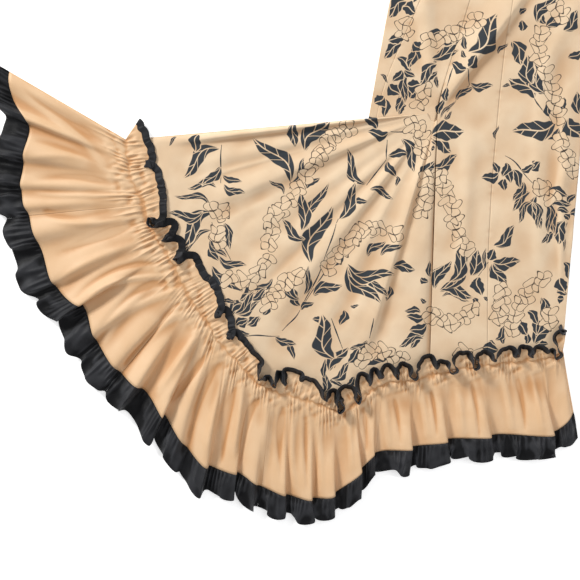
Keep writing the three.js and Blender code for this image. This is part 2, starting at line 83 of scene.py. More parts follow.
# Folds of the flounce, from the train's upper end round to the right side seam: g is on the
# gathering line, h on the hem, 'rise' a fold's height, 'lean' how far its crest tips over
# the next fold, 'drop' how much lower its crest hangs.
FOLDS = table(
    "gx gy hx hy rise lean drop",
    (-756, 344, -1028, 461, 12, 4, 4),
    (-751, 318, -1012, 401, 22, 10, 0),
    (-743, 288, -969, 344, 20, 14, 8),
    (-733, 258, -972, 259, 10, 4, 3),
    (-716, 231, -969, 202, 12, 5, 4),
    (-702, 206, -946, 152, 16, 8, 5),
    (-684, 171, -910, 81, 18, 14, 6),
    (-659, 132, -865, 2, 26, 28, 12),
    (-631, 100, -804, -30, 16, 10, 4),
    (-607, 65, -763, -105, 14, 12, 4),
    (-582, 24, -703, -166, 20, 14, 6),
    (-556, -6, -648, -197, 24, 26, 12),
    (-525, -38, -597, -246, 14, 12, 4),
    (-502, -71, -538, -312, 18, 24, 10),
    (-462, -103, -481, -345, 14, 20, 8),
    (-413, -144, -423, -351, 12, 12, 5),
    (-370, -163, -367, -375, 14, 14, 5),
    (-325, -171, -308, -386, 16, 18, 7),
    (-262, -181, -250, -386, 18, 20, 10),
    (-214, -191, -200, -364, 20, 26, 12),
    (-175, -164, -155, -310, 14, 18, 9),
    (-132, -121, -127, -271, 20, 28, 12),
    (-59, -101, -50, -248, 20, 28, 11),
    (11, -74, 29, -221, 22, 36, 11),
    (107, -47, 130, -199, 22, 40, 8),
    (224, -19, 250, -180, 8, 4, 0),
    (252, 2, 293, -131, 0, 0, 0),
)
LAST = len(FOLDS["gx"]) - 1
CENTRE_K, PRINCESS_K = 22.42, 23.87  # where the back seams reach the gathering line


def smooth(low, high, value):
    t = np.clip((value - low) / (high - low), 0, 1)
    return t * t * (3 - 2 * t)


def lerp(a, b, t):
    return a + (b - a) * t


def hump(t):
    return np.sin(np.pi * t) ** 2


def column(values, row):
    """A smooth curve through one column of a table, read at fractional rows."""
    top = len(values) - 1
    row = np.asarray(row, float)
    i = np.clip(np.floor(row).astype(int), 0, top - 1)
    t = row - i
    a, b, c, d = (values[np.clip(i + j, 0, top)] for j in (-1, 0, 1, 2))
    return b + 0.5 * t * (c - a + t * (2 * a - 5 * b + 4 * c - d + t * (3 * (b - c) + d - a)))


def xyz(x, y, z):
    return np.stack(np.broadcast_arrays(x, y, z), axis=-1).astype(float)


def unit(v):
    return v / np.linalg.norm(v, axis=-1, keepdims=True)


def gather(k):
    return np.stack([column(FOLDS["gx"], k), column(FOLDS["gy"], k)], axis=-1)


def hem(k):
    return np.stack([column(FOLDS["hx"], k), column(FOLDS["hy"], k)], axis=-1)


def neck_line(x, drop):
    side = np.abs(x)
    neck = NECK_SIDE - drop * (1 - (side / NECK_HALF) ** 2)
    return np.where(side < NECK_HALF, neck, NECK_SIDE - (side - NECK_HALF) * SHOULDER_SLOPE)


def body_level(x, row):
    """Level across the body, rising to the neck and shoulder line at the top."""
    rise = neck_line(x, BACK_NECK_DROP) - BODY["y"][SHOULDER_ROW]
    return column(BODY["y"], row) + rise * smooth(UNDERARM_ROW, SHOULDER_ROW, row)


front_low, front_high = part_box("front_panel")
ORIGIN = np.array([front_low.x / MM - BODY["left_side"][0], front_high.y / MM - NECK_SIDE, 0])


def sheet_mesh(name, points, cloth_map):
    """A thin shell of cloth through a grid of points, printed side up."""
    rows, columns = points.shape[:2]
    corner = np.arange(rows * columns).reshape(rows, columns)
    quads = np.stack([corner[:-1, :-1], corner[:-1, 1:], corner[1:, 1:], corner[1:, :-1]], -1)
    across = points[0, 1] - points[0, 0]
    along = points[1, 0] - points[0, 0]
    if np.cross(across[:2], along[:2]) < 0:
        quads = quads[..., ::-1]
    quads = quads.reshape(-1, 4)
    mesh = bpy.data.meshes.new(name)
    mesh.from_pydata(((points + ORIGIN) * MM).reshape(-1, 3), [], quads)
    uv = mesh.uv_layers.new(name="cloth")
    uv.data.foreach_set("uv", (cloth_map.reshape(-1, 2)[quads] * MM).ravel())
    mesh.shade_smooth()
    piece = bpy.data.objects.new(name, mesh)
    bpy.context.collection.objects.link(piece)
    return piece, points.reshape(-1, 3)[:, :2][quads]


def give_wall(piece, thickness):
    bpy.ops.object.select_all(action="DESELECT")
    bpy.context.view_layer.objects.active = piece
    piece.select_set(True)
    wall = piece.modifiers.new("wall", "SOLIDIFY")
    wall.thickness = thickness * MM
    wall.offset = 0
    bpy.ops.object.modifier_apply(modifier=wall.name)
    piece.select_set(False)


# The print: sprays of pointed leaves and strands of small blossoms, drawn on a plan whose steps
# are 2.2 mm and whose down side is turned 7 degrees from the dress's own.
PLAN_STEP = 2.2
PLAN_TURN = math.radians(7)
PLAN_MIDDLE, PLAN_PLACE = 290, (-358, 60)
LEAF_ROWS = table(
    "across0 down0 across1 down1 half",
    (199, 135, 196, 151, 5.5), (177, 137, 170, 146, 1.5), (220, 149, 187, 176, 6.5),
    (221, 167, 204, 184, 4.5), (217, 188, 190, 189, 3.4), (223, 176, 241, 182, 3),
    (224, 185, 244, 193, 4), (211, 206, 177, 197, 3), (204, 212, 171, 213, 4.6),
    (213, 212, 185, 245, 7), (212, 230, 182, 254, 3), (224, 223, 230, 248, 3.6),
    (211, 238, 226, 256, 3), (210, 247, 218, 260, 3.6), (219, 256, 245, 265, 4),
    (212, 266, 241, 290, 5), (235, 314, 253, 293, 4), (250, 299, 265, 289, 3),
    (223, 301, 235, 302, 2), (236, 325, 247, 319, 3.5), (248, 325, 259, 317, 3),
    (235, 313, 259, 301, 3), (291, 183, 256, 142, 7.4), (294, 124, 295, 146, 5),
    (305, 152, 328, 124, 7.5), (289, 179, 290, 164, 1.5), (292, 183, 303, 160, 3.4),
    (284, 195, 270, 182, 2.4), (289, 189, 301, 186, 1.5), (306, 189, 319, 179, 3),
    (302, 231, 301, 195, 5.6), (307, 230, 327, 187, 4.6), (305, 240, 284, 221, 4.6),
    (311, 264, 331, 211, 8), (339, 220, 354, 186, 5.4), (353, 204, 366, 202, 3),
    (369, 190, 391, 199, 3.5), (366, 185, 348, 152, 4.6), (387, 162, 395, 176, 4),
    (396, 176, 396, 186, 2), (407, 154, 389, 156, 4), (401, 139, 413, 170, 5.6),
    (377, 129, 364, 117, 4.5), (388, 133, 369, 132, 5), (322, 264, 347, 239, 5),
    (367, 257, 384, 243, 4), (380, 256, 401, 246, 3.5), (347, 264, 391, 274, 6),
    (348, 264, 378, 300, 6.5), (369, 273, 386, 295, 4), (389, 286, 386, 300, 3),
    (392, 267, 413, 270, 5), (313, 296, 340, 286, 5.5), (304, 295, 308, 268, 3),
    (300, 300, 285, 275, 4), (273, 278, 251, 290, 3), (259, 290, 241, 300, 5),
    (232, 315, 248, 299, 5), (250, 306, 265, 293, 4), (237, 324, 248, 319, 4),
    (247, 325, 260, 318, 4), (250, 334, 235, 329, 2), (263, 315, 270, 302, 3),
    (275, 337, 295, 344, 3.6), (292, 340, 294, 358, 3), (300, 306, 294, 290, 4),
    (301, 310, 313, 303, 3), (335, 359, 323, 318, 9), (323, 318, 313, 319, 3),
    (344, 310, 340, 324, 4), (350, 306, 358, 305, 1.5), (329, 371, 347, 349, 5.5),
    (348, 362, 358, 349, 4), (331, 379, 348, 363, 4), (325, 378, 325, 360, 2.5),
    (323, 393, 325, 374, 4), (328, 382, 342, 385, 2.5), (367, 340, 350, 349, 3),
    (360, 368, 388, 356, 5.5), (347, 384, 354, 377, 3), (420, 312, 405, 311, 3),
    (424, 316, 407, 316, 4), (426, 324, 410, 330, 5), (423, 338, 400, 346, 4),
    (424, 334, 411, 347, 4), (426, 302, 420, 299, 2), (406, 2, 390, 17, 6), (402, 8, 414, 14, 6),
    (404, 39, 389, 41, 5), (401, 44, 385, 58, 5), (413, 43, 422, 50, 5), (413, 47, 409, 67, 5.5),
    (397, 58, 410, 71, 4), (404, 71, 414, 77, 3), (402, 71, 393, 81, 4), (380, 75, 387, 83, 1.5),
    (406, 76, 405, 101, 4), (402, 73, 401, 94, 3), (389, 85, 399, 94, 6), (407, 85, 419, 85, 6),
    (414, 92, 410, 98, 5), (400, 92, 397, 111, 4), (406, 105, 399, 114, 3), (384, 97, 375, 103, 6),
    (385, 99, 384, 116, 4), (423, 41, 452, 43, 6.5), (431, 60, 457, 42, 5), (433, 65, 456, 52, 4),
    (436, 65, 421, 84, 5), (427, 85, 436, 73, 3), (436, 77, 437, 88, 2), (467, 54, 493, 19, 9.5),
    (465, 51, 463, 38, 2.5), (465, 59, 461, 52, 2), (467, 69, 474, 58, 5), (474, 56, 482, 52, 1.5),
    (465, 71, 452, 64, 5), (446, 102, 446, 89, 3), (470, 84, 491, 86, 4), (455, 101, 472, 88, 3),
    (438, 115, 443, 101, 3), (440, 119, 455, 102, 1.5), (444, 120, 451, 112, 1.5),
    (431, 136, 461, 132, 9), (431, 141, 449, 152, 7), (433, 167, 455, 156, 5),
    (421, 180, 433, 163, 5), (431, 148, 434, 149, 2.5), (495, 140, 498, 127, 1.5),
    (519, 16, 525, 10, 2.5), (521, 32, 521, 22, 4), (497, 55, 507, 45, 2), (511, 42, 520, 64, 7),
    (520, 51, 523, 59, 2.5), (531, 85, 527, 58, 7), (544, 94, 534, 67, 6), (531, 85, 543, 94, 5),
    (534, 99, 510, 81, 7.5), (510, 86, 502, 87, 1.5), (555, 122, 515, 131, 9),
    (558, 129, 542, 139, 4), (551, 118, 547, 102, 4), (563, 111, 563, 99, 3),
    (567, 119, 580, 137, 9), (579, 115, 576, 94, 5), (580, 52, 568, 58, 4), (536, 24, 554, 0, 5.5),
    (545, 25, 540, 13, 3), (545, 28, 563, 21, 5), (562, 32, 575, 13, 5.5), (548, 31, 550, 26, 2),
    (498, 174, 482, 178, 5), (497, 174, 493, 163, 3), (506, 163, 502, 176, 4),
    (508, 165, 510, 182, 4.5), (512, 170, 519, 187, 4), (504, 179, 504, 190, 4),
    (520, 171, 532, 166, 3), (529, 170, 538, 163, 4), (532, 161, 533, 170, 3),
    (523, 182, 513, 200, 4), (529, 192, 513, 210, 4), (531, 202, 519, 222, 3.5),
    (532, 202, 536, 227, 3), (535, 196, 539, 227, 5), (543, 201, 547, 231, 4),
    (546, 204, 553, 232, 4), (546, 235, 541, 243, 2), (553, 232, 546, 243, 3),
    (548, 190, 565, 196, 4), (549, 206, 569, 205, 3.5), (567, 204, 574, 195, 3),
    (556, 210, 567, 212, 3), (569, 214, 580, 214, 3.5), (568, 220, 563, 215, 3),
    (563, 221, 558, 243, 6), (567, 222, 563, 250, 2), (575, 235, 575, 243, 3),
    (493, 246, 512, 227, 5.5), (488, 260, 493, 250, 4.5), (492, 262, 518, 261, 6),
    (492, 263, 505, 282, 6), (471, 276, 477, 252, 6), (475, 274, 485, 250, 2.5),
    (449, 282, 461, 247, 6), (444, 289, 467, 251, 5), (434, 289, 450, 263, 5),
    (433, 282, 446, 265, 4), (430, 277, 429, 262, 2.5), (420, 278, 427, 282, 3),
    (439, 291, 470, 297, 6), (441, 297, 467, 301, 2.5), (478, 277, 481, 294, 6),
    (470, 283, 478, 292, 3), (483, 297, 487, 301, 1.5), (472, 298, 477, 306, 2.5),
    (563, 262, 568, 278, 4), (559, 278, 564, 291, 6), (556, 292, 566, 294, 3),
    (557, 298, 563, 299, 4), (541, 297, 542, 317, 4), (527, 311, 537, 323, 4),
    (532, 317, 536, 333, 4), (517, 323, 526, 334, 5), (534, 344, 549, 325, 6),
    (536, 340, 547, 344, 3), (495, 340, 503, 327, 3), (503, 344, 503, 332, 2.5),
    (506, 320, 511, 317, 2), (482, 348, 497, 350, 5), (480, 357, 495, 360, 4),
    (487, 342, 495, 345, 2), (526, 344, 526, 332, 3),
)
STRANDS = table(
    "across0 down0 across1 down1 across2 down2",
    (226, 270, 250, 276, 264, 252), (264, 252, 268, 218, 290, 194),
    (290, 194, 312, 158, 326, 140), (326, 140, 338, 128, 352, 124),
    (410, 118, 424, 132, 424, 162), (430, 172, 431, 196, 424, 218),
    (443, 172, 450, 190, 458, 212), (458, 212, 462, 232, 472, 252),
    (430, 304, 450, 318, 475, 302), (504, 284, 506, 304, 499, 324),
    (549, 277, 537, 290, 527, 302), (527, 302, 518, 316, 516, 334),
    (407, 16, 410, 30, 404, 42), (422, 36, 452, 30, 478, 12),
    (430, 86, 428, 98, 424, 112), (547, 32, 542, 52, 553, 76),
    (553, 76, 560, 98, 562, 122), (563, 136, 570, 154, 578, 176),
    (557, 4, 562, 10, 566, 18), (264, 307, 272, 288, 304, 268),
    (350, 244, 362, 226, 404, 230), (350, 244, 344, 258, 324, 276),
    (355, 362, 364, 350, 378, 348), (378, 348, 392, 350, 405, 357),
    (534, 186, 546, 186, 560, 200), (552, 308, 553, 318, 552, 328),
    (457, 348, 468, 352, 478, 350), (206, 210, 222, 206, 230, 216),
    (218, 226, 222, 236, 222, 246),
)
STEMS = table(
    "across0 down0 across1 down1",
    (222, 145, 221, 184), (366, 186, 386, 160), (386, 160, 387, 140), (347, 236, 300, 310),
    (300, 310, 282, 331), (244, 337, 280, 336), (466, 70, 469, 86), (469, 86, 446, 113),
    (446, 113, 431, 140), (504, 156, 532, 184), (412, 134, 390, 132), (488, 262, 478, 276),
    (352, 188, 336, 224), (336, 224, 323, 262), (323, 262, 300, 310), (331, 318, 343, 350),
    (343, 350, 334, 368), (373, 318, 369, 338), (452, 69, 446, 88), (533, 98, 543, 114),
    (543, 114, 557, 121), (540, 298, 545, 318), (545, 318, 536, 338), (212, 222, 232, 262),
)
REPEATS = [(20, 640), (-330, 560), (430, 590)]
REPEAT_MARGIN = 25  # how far the repeats keep off the first motifs' ground
LEAF_LONGER, LEAF_WIDER = 1.12, 1.1  # than its row in the table says
LEAF_LEAN = 0.78  # below 1 a leaf is widest nearer its stem than its tip
LEAF_TURN_BACK = 0.6  # how far a leaf's tip bends the other way
VEINLESS = 42  # a leaf shorter than this has a middle rib alone
VEIN_PITCH = 38  # from one pair of side veins to the next
STEM_HALF = 1.5
LEAF_REACH, LEAF_MARGIN = 150, 5.5  # the longest leaf, and the bare ground kept round each
BLOSSOM = 25.0  # radius of a blossom
BLOSSOM_REACH, BLOSSOM_MARGIN = 30, 5
BLOSSOM_PITCH = 25  # from one blossom of a strand to the next
BLOSSOM_SWING = 12  # how far they lie to either side of it
LAYERS = (1, 2, 3)  # a place is under three leaves and three blossoms at most
draw = np.random.default_rng(27)


def plan(across, down):
    """A place on the print's plan, in the dress's millimetres."""
    x = (across - PLAN_MIDDLE) * PLAN_STEP
    y = (PLAN_MIDDLE - down) * PLAN_STEP
    turned = (x * math.cos(PLAN_TURN) - y * math.sin(PLAN_TURN),
              x * math.sin(PLAN_TURN) + y * math.cos(PLAN_TURN))
    return np.array([PLAN_PLACE[0] + turned[0], PLAN_PLACE[1] + turned[1]])


def unplan(x, y):
    """The place on the plan of a point of the dress."""
    dx, dy = x - PLAN_PLACE[0], y - PLAN_PLACE[1]
    across = dx * math.cos(PLAN_TURN) + dy * math.sin(PLAN_TURN)
    up = dy * math.cos(PLAN_TURN) - dx * math.sin(PLAN_TURN)
    return np.array([PLAN_MIDDLE + across / PLAN_STEP, PLAN_MIDDLE - up / PLAN_STEP])


def base_heading_length(across0, down0, across1, down1):
    start = plan(across0, down0)
    way = plan(across1, down1) - start
    return start, math.atan2(way[1], way[0]), np.linalg.norm(way)


def draw_leaves():
    """Rows of base x, base y, heading, length, half width, bend, and pairs of side veins."""
    leaves = []
    for *places, half in zip(*LEAF_ROWS.values()):
        start, heading, length = base_heading_length(*places)
        veins = 0 if length < VEINLESS else 0.9 + length / VEIN_PITCH + draw.uniform(-0.3, 0.4)
        bend = draw.uniform(0.06, 0.14) * draw.choice([-1, 1])
        leaves.append((*start, heading, LEAF_LONGER * length, half * PLAN_STEP * LEAF_WIDER,
                       bend, veins))
    for places in zip(*STEMS.values()):
        start, heading, length = base_heading_length(*places)
        leaves.append((*start, heading, length, STEM_HALF, draw.uniform(-0.05, 0.05), -1))
    return np.array(leaves)


def bent_line(ends, t):
    """Places and ways at t on the line that bends from one end past the second to the third."""
    control = 2 * ends[1] - (ends[0] + ends[2]) / 2
    place = lerp(lerp(ends[0], control, t), lerp(control, ends[2], t), t)
    return place, unit(lerp(control - ends[0], ends[2] - control, t))


def draw_blossoms():
    """Rows of centre x, centre y, turn."""
    blossoms = []
    for i in range(len(STRANDS["down0"])):
        ends = [plan(STRANDS[f"across{j}"][i], STRANDS[f"down{j}"][i]) for j in (0, 1, 2)]
        length = sum(np.linalg.norm(ends[j + 1] - ends[j]) for j in (0, 1))
        count = max(2, round(length / BLOSSOM_PITCH))
        for t in (np.arange(count) + 0.5) / count:
            centre, way = bent_line(ends, t)
            side = BLOSSOM_SWING * (1 if round(t * count) % 2 else -1) * draw.uniform(0.7, 1.15)
            shift = np.array([-way[1], way[0]]) * side + draw.uniform(-1.5, 1.5, 2)
            blossoms.append((*(centre + shift), draw.uniform(0, 2 * math.pi)))
    return np.array(blossoms)


def repeated(motifs):
    """The motifs and their copies round them, which keep off the first ones' own ground."""
    copies = [motifs]
    for dx, dy in REPEATS:
        copy = motifs.copy()
        copy[:, 0] += dx
        copy[:, 1] += dy
        off = np.abs(unplan(copy[:, 0], copy[:, 1]) - PLAN_MIDDLE).max(axis=0)
        copies.append(copy[off > PLAN_MIDDLE + REPEAT_MARGIN])
    return np.concatenate(copies)


LEAVES = repeated(draw_leaves())
BLOSSOMS = repeated(draw_blossoms())
NO_LEAF = (1e4, 1e4, 0, 1, 1, 0, 0)
NO_BLOSSOM = (1e4, 1e4, 0)


def leaf_places(leaf, x, y):
    """How far along a leaf a point is, from 0 to 1, and how far across, in half widths."""
    bx, by, heading, length, half, bend, _ = np.moveaxis(leaf, -1, 0)
    dx, dy = x - bx, y - by
    along = (dx * np.cos(heading) + dy * np.sin(heading)) / length
    off = dy * np.cos(heading) - dx * np.sin(heading)
    back = LEAF_TURN_BACK * np.sin(2 * np.pi * along)
    off = off - bend * length * (4 * along * (1 - along) + back)
    return along, off / half


def print_on(piece, corners):
    """Gives each face the leaves and blossoms over it, as places inside each of them."""
    middle = corners.mean(axis=1)
    low, high = middle.min(axis=0), middle.max(axis=0)
    chosen = np.full((2, len(LAYERS), len(middle)), -1)
    filled = np.zeros((2, len(middle)), int)

    def lay(sort, i, covered):
        for layer in range(len(LAYERS)):
            chosen[sort, layer, covered & (filled[sort] == layer)] = i
        filled[sort, covered] += 1

    for i, leaf in enumerate(LEAVES):
        if ((leaf[:2] > low - LEAF_REACH) & (leaf[:2] < high + LEAF_REACH)).all():
            along, off = leaf_places(leaf, middle[:, 0], middle[:, 1])
            beyond = np.maximum(np.maximum(-along, along - 1), 0) * leaf[3]
            width = leaf[4] * np.sin(np.pi * np.clip(along, 0, 1) ** LEAF_LEAN)
            lay(0, i, beyond + np.maximum(np.abs(off) * leaf[4] - width, 0) < LEAF_MARGIN)
    for i, blossom in enumerate(BLOSSOMS):
        if ((blossom[:2] > low - BLOSSOM_REACH) & (blossom[:2] < high + BLOSSOM_REACH)).all():
            lay(1, i, np.hypot(*(middle - blossom[:2]).T) < BLOSSOM + BLOSSOM_MARGIN)
    leaves, blossoms = np.vstack([LEAVES, NO_LEAF]), np.vstack([BLOSSOMS, NO_BLOSSOM])
    for layer, name in enumerate(LAYERS):
        leaf = leaves[chosen[0, layer]][:, None, :]
        along, off = leaf_places(leaf, corners[..., 0], corners[..., 1])
        store(piece, f"leaf_{name}", xyz(along, off, leaf[..., 6]))
        blossom = blossoms[chosen[1, layer]][:, None, :]
        inside = (corners - blossom[..., :2]) / BLOSSOM
        store(piece, f"blossom_{name}", xyz(inside[..., 0], inside[..., 1], blossom[..., 2]))


def store(piece, name, values, sort="FLOAT_VECTOR", domain="CORNER"):
    layer = piece.data.attributes.new(name=name, type=sort, domain=domain)
    field = "vector" if sort == "FLOAT_VECTOR" else "value"
    layer.data.foreach_set(field, values.astype(np.float32).ravel())


def spread(values, reach):
    """A mean over 'reach' places to either side, along both ways of a grid."""
    for axis in (0, 1):
        width = min(reach, values.shape[axis] // 2)
        padded = np.pad(values, [(width + 1, width) if i == axis else (0, 0) for i in (0, 1)],
                        mode="edge")
        total = np.cumsum(padded, axis=axis)
        window = 2 * width + 1
        later = np.take(total, range(window, total.shape[axis]), axis=axis)
        earlier = np.take(total, range(total.shape[axis] - window), axis=axis)
        values = (later - earlier) / window
    return values


CREASE_SHADE_DEPTH = 1.3  # a crease this deep gets the darkest painted shade
# how much of the painted shade comes from the creases and from the valleys
CREASE_SHADE_SHARE, VALLEY_SHADE_SHARE = 0.6, 0.75


def paint_fold_shade(piece, points, near, far, depth):
    """Stores how deep each place lies between the folds round it, from 0 to 1, as its share of the
    painted shade.
    """
    z = points[..., 2]
    crease = np.clip((spread(spread(z, near), near) - z) / CREASE_SHADE_DEPTH, 0, 1)
    valley = np.clip((spread(spread(z, far), far) - z) / depth, 0, 1)
    fold_shade = np.clip(CREASE_SHADE_SHARE * crease + VALLEY_SHADE_SHARE * valley, 0, 1)
    store(piece, "fold_shade", fold_shade, "FLOAT", "POINT")


class Term:
    """A number that a material's nodes work out, for use in a sum."""

    def __init__(self, sums, socket):
        self.sums, self.socket = sums, socket

    def __add__(self, other):
        return self.sums.do("ADD", self, other)

    def __sub__(self, other):
        return self.sums.do("SUBTRACT", self, other)

    def __rsub__(self, other):
        return self.sums.do("SUBTRACT", other, self)

    def __mul__(self, other):
        return self.sums.do("MULTIPLY", self, other)

    def __pow__(self, other):
        return self.sums.do("POWER", self, other)

    def __abs__(self):
        return self.sums.do("ABSOLUTE", self)


class Sums:
    """The nodes of one material."""

    def __init__(self, name):
        self.material = bpy.data.materials.new(name)
        self.material.use_nodes = True
        self.shader = self.material.node_tree.nodes["Principled BSDF"].inputs

    def put(self, socket, value):
        if isinstance(value, Term):
            self.material.node_tree.links.new(value.socket, socket)
        else:
            socket.default_value = value

    def node(self, kind, output, values, **settings):
        """Adds a node with its settings and input values, and gives one of its outputs."""
        node = self.material.node_tree.nodes.new(f"ShaderNode{kind}")
        for setting, value in settings.items():
            setattr(node, setting, value)
        for socket, value in values.items():
            self.put(node.inputs[socket], value)
        return Term(self, node.outputs[output])

    def do(self, operation, *values):
        return self.node("Math", 0, dict(enumerate(values)), operation=operation)

    def sine(self, value):
        return self.do("SINE", value)

    def most(self, *values):
        return self.do("MAXIMUM", *values)

    def step(self, low, high, value):
        ends = {"Value": value, "From Min": low, "From Max": high}
        return self.node("MapRange", "Result", ends, interpolation_type="SMOOTHSTEP")

    def stored(self, name, output="Vector"):
        return self.node("Attribute", output, {}, attribute_name=name)

    def parts(self, vector):
        split = self.node("SeparateXYZ", 0, {0: vector}).socket.node
        return [Term(self, socket) for socket in split.outputs]

    def noise(self, place, scale, detail):
        return self.node("TexNoise", "Fac", {"Vector": place, "Scale": scale, "Detail": detail})

    def mix(self, share, first, second):
        return self.node("Mix", 2, {"Factor": share, 6: first, 7: second}, data_type="RGBA")


VEIN_STAGGER, VEIN_SWEEP = 0.45, 0.75  # of the two sides' veins, and of each towards the tip


def leaf_ink(sums, name):
    """Ink of one pointed leaf with its veins left bare, and the ground that it covers."""
    along, off, veins = sums.parts(sums.stored(name))
    across = abs(off)
    t = sums.do("MINIMUM", sums.most(along, 0.0), 1.0)
    arch = sums.most(sums.sine(t ** LEAF_LEAN * math.pi), 0.0)
    stem = sums.do("LESS_THAN", veins, -0.5)
    uneven = sums.sine(along * 19.0) * 0.09 + 0.98
    inside = sums.most(arch ** 1.05 * uneven, stem * 0.45) - across
    ends = sums.step(0.0, 0.02, along) * sums.step(1.0, 0.98, along)
    body = sums.step(-0.04, 0.05, inside) * ends
    covers = sums.step(-0.2, -0.16, inside) * ends
    rib = sums.step(0.045, 0.10, across)
    shift = sums.do("GREATER_THAN", off, 0.0) * VEIN_STAGGER
    phase = along * veins + shift - across * VEIN_SWEEP
    side = sums.step(0.488, 0.44, abs(sums.do("FRACT", phase) - 0.5))
    side = sums.most(side, sums.do("LESS_THAN", veins, 0.5))
    return body * sums.most(rib * side, stem), covers


def blossom_ink(sums, name):
    """Ink of one blossom drawn in line, its petals uneven, and the ground that it covers."""
    x, y, turn = sums.parts(sums.stored(name))
    x, y = (sums.sine(y * 4.3 + turn) * 0.15 + x,
            sums.sine(x * 3.7 + turn * 2.0) * 0.15 + y)
    radius = sums.do("SQRT", x * x + y * y)
    angle = sums.do("ARCTAN2", y, x) + turn
    petal = abs(sums.do("COSINE", angle * 2.0))
    reach = petal ** 0.45 * (sums.sine(angle + turn) * 0.13 + 0.36) + 0.42
    crease = petal * (radius * 0.45)
    beyond = sums.step(-0.02, 0.02, radius - reach * 0.9)
    line = sums.do("MINIMUM", abs(radius - reach), crease + beyond)
    return sums.step(0.046, 0.018, line), sums.step(0.0, 0.02, reach + 0.03 - radius)


def layered(sums, inks):
    """Ink of motifs laid over one another, the first on top, and the ground they all cover."""
    ink, cover = inks[0]
    for next_ink, next_cover in inks[1:]:
        ink = sums.most(ink, next_ink * (1.0 - cover))
        cover = sums.most(cover, next_cover)
    return ink, cover


STITCH = 0.004  # metres from one stitch to the next
STITCH_DENT = -3.0
BESIDE_SEAM = (0.0011, 0.0005)  # its dent runs out between these distances from its line
FOLD_SHADE_MIX = 0.8  # how far the deepest fold goes over to its painted shade colour


def cotton(name, colour, shade, fold_shade, printed=False, roughness=0.75, shine=0.3,
           stitches=()):
    """Plain-woven cotton: a fine weave with uneven threads, print where there is some, and shade
    painted into its folds.
    """
    sums = Sums(name)
    place = sums.node("UVMap", 0, {}, uv_map="cloth")
    u, v, _ = sums.parts(place)
    slub = sums.noise(place, 160.0, 3.0)
    weave = sums.sine(u * THREADS) * sums.sine(v * THREADS) * 0.5 + slub
    for line in stitches:
        beside = sums.step(*BESIDE_SEAM, abs(v - line))
        dash = sums.step(-0.5, 0.1, sums.sine(u * (2 * math.pi / STITCH)))
        weave = beside * dash * STITCH_DENT + weave
    relief = {"Strength": 0.25, "Distance": 0.0004, "Height": weave}
    sums.put(sums.shader["Normal"], sums.node("Bump", 0, relief))
    base = sums.mix(sums.step(0.3, 0.7, sums.noise(place, 13.0, 4.0)), colour, shade)
    # Painted shade: the colour goes over to a darker one in the creases and valleys between the
    # folds.
    base = sums.mix(sums.stored("fold_shade", "Fac") * FOLD_SHADE_MIX, base, fold_shade)
    if printed:
        leaf, _ = layered(sums, [leaf_ink(sums, f"leaf_{i}") for i in LAYERS])
        line, cover = layered(sums, [blossom_ink(sums, f"blossom_{i}") for i in LAYERS])
        base = sums.mix(line, base, LINE_INK)
        base = sums.mix(leaf * (1.0 - cover), base, INK)
    sums.put(sums.shader["Base Color"], base)
    sums.shader["Roughness"].default_value = roughness
    sums.shader["Specular IOR Level"].default_value = shine
    sums.shader["Sheen Weight"].default_value = 0.08
    sums.shader["Sheen Roughness"].default_value = 0.5
    return sums.material


THREADS = 2 * math.pi / 0.0009  # one warp and one weft thread each 0.9 mm
PEACH, PEACH_SHADE = (0.83, 0.64, 0.44, 1), (0.76, 0.55, 0.355, 1)
# colour of the shade painted into the printed cotton's folds
PEACH_FOLD_SHADE = (0.62, 0.375, 0.20, 1)
INK, LINE_INK = (0.032, 0.039, 0.047, 1), (0.055, 0.040, 0.030, 1)
COTTONS = {
    "printed_cotton": cotton("printed cotton", PEACH, PEACH_SHADE, PEACH_FOLD_SHADE, printed=True),
}

# For the shade painted into the folds: how many columns of a sheet a crease and a valley reach
# over, and how deep a valley is that gets the full painted shade.
FOLD_SHADE_SETTINGS = {"printed_cotton": (2, 7, 3.6), "plain_cotton": (3, 9, 5.0), "black_cotton": (5, 18, 2.4)}


def finish_cloth(node, points, slot, cut, cloth_map=None, thickness=CLOTH):
    """Makes the sheet that stands for a node and prints it."""
    if cloth_map is None:
        cloth_map = points[..., :2]
    piece, corners = sheet_mesh(f"{node}_cloth", points, cloth_map)
    if slot == "printed_cotton":
        print_on(piece, corners)
    # paints shade into the sheet's creases and valleys through its colour
    paint_fold_shade(piece, points, *FOLD_SHADE_SETTINGS[slot])
    give_wall(piece, thickness)
    piece.data.materials.append(COTTONS[slot])
    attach(piece, "root")
    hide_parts(node)
    width, length, share = cut
    None if share == 1 else round(width * length * share, 6)


def front_points():
    u = np.linspace(0, 1, 56)
    w = np.linspace(0, 1, 110)[:, None]
    edge = gather(np.linspace(CENTRE_K, LAST, 60))
    edge = np.concatenate([[(BODY["left_side"][0], 0)], edge])
    x = lerp(BODY["left_side"][0], edge[-1, 0], u)
    bottom = np.interp(x, edge[:, 0], edge[:, 1])
    top = neck_line(lerp(BODY["left_side"][-1], BODY["right_side"][-1], u), FRONT_NECK_DROP)
    y = lerp(bottom, top, w)
    levels = np.linspace(0, SHOULDER_ROW, 200)
    row = np.interp(y, column(BODY["y"], levels), levels)
    left, right = column(BODY["left_side"], row), column(BODY["right_side"], row)
    return xyz(lerp(left, right, u), y, GROUND)


finish_cloth("front_panel", front_points(), "printed_cotton", (0.52, 1.38, 0.83))

# ---------------------------------------------------------------- the back
# Four princess-seamed pieces of the same cotton, sewn to each other with the seams pressed
# open. The cloth dips and puckers a little at each seam and lies in soft folds between.

SEAM_GAP = 0.3
SEAM_DIP, SEAM_REACH = 0.3, 8  # how far the cloth dips at a seam, and over what width
TRAIN_TUCK = 64  # the left back's hem ends this far under the train
BACK_WAVES = ((2.4, 34, 5), (2.2, 12, 6))

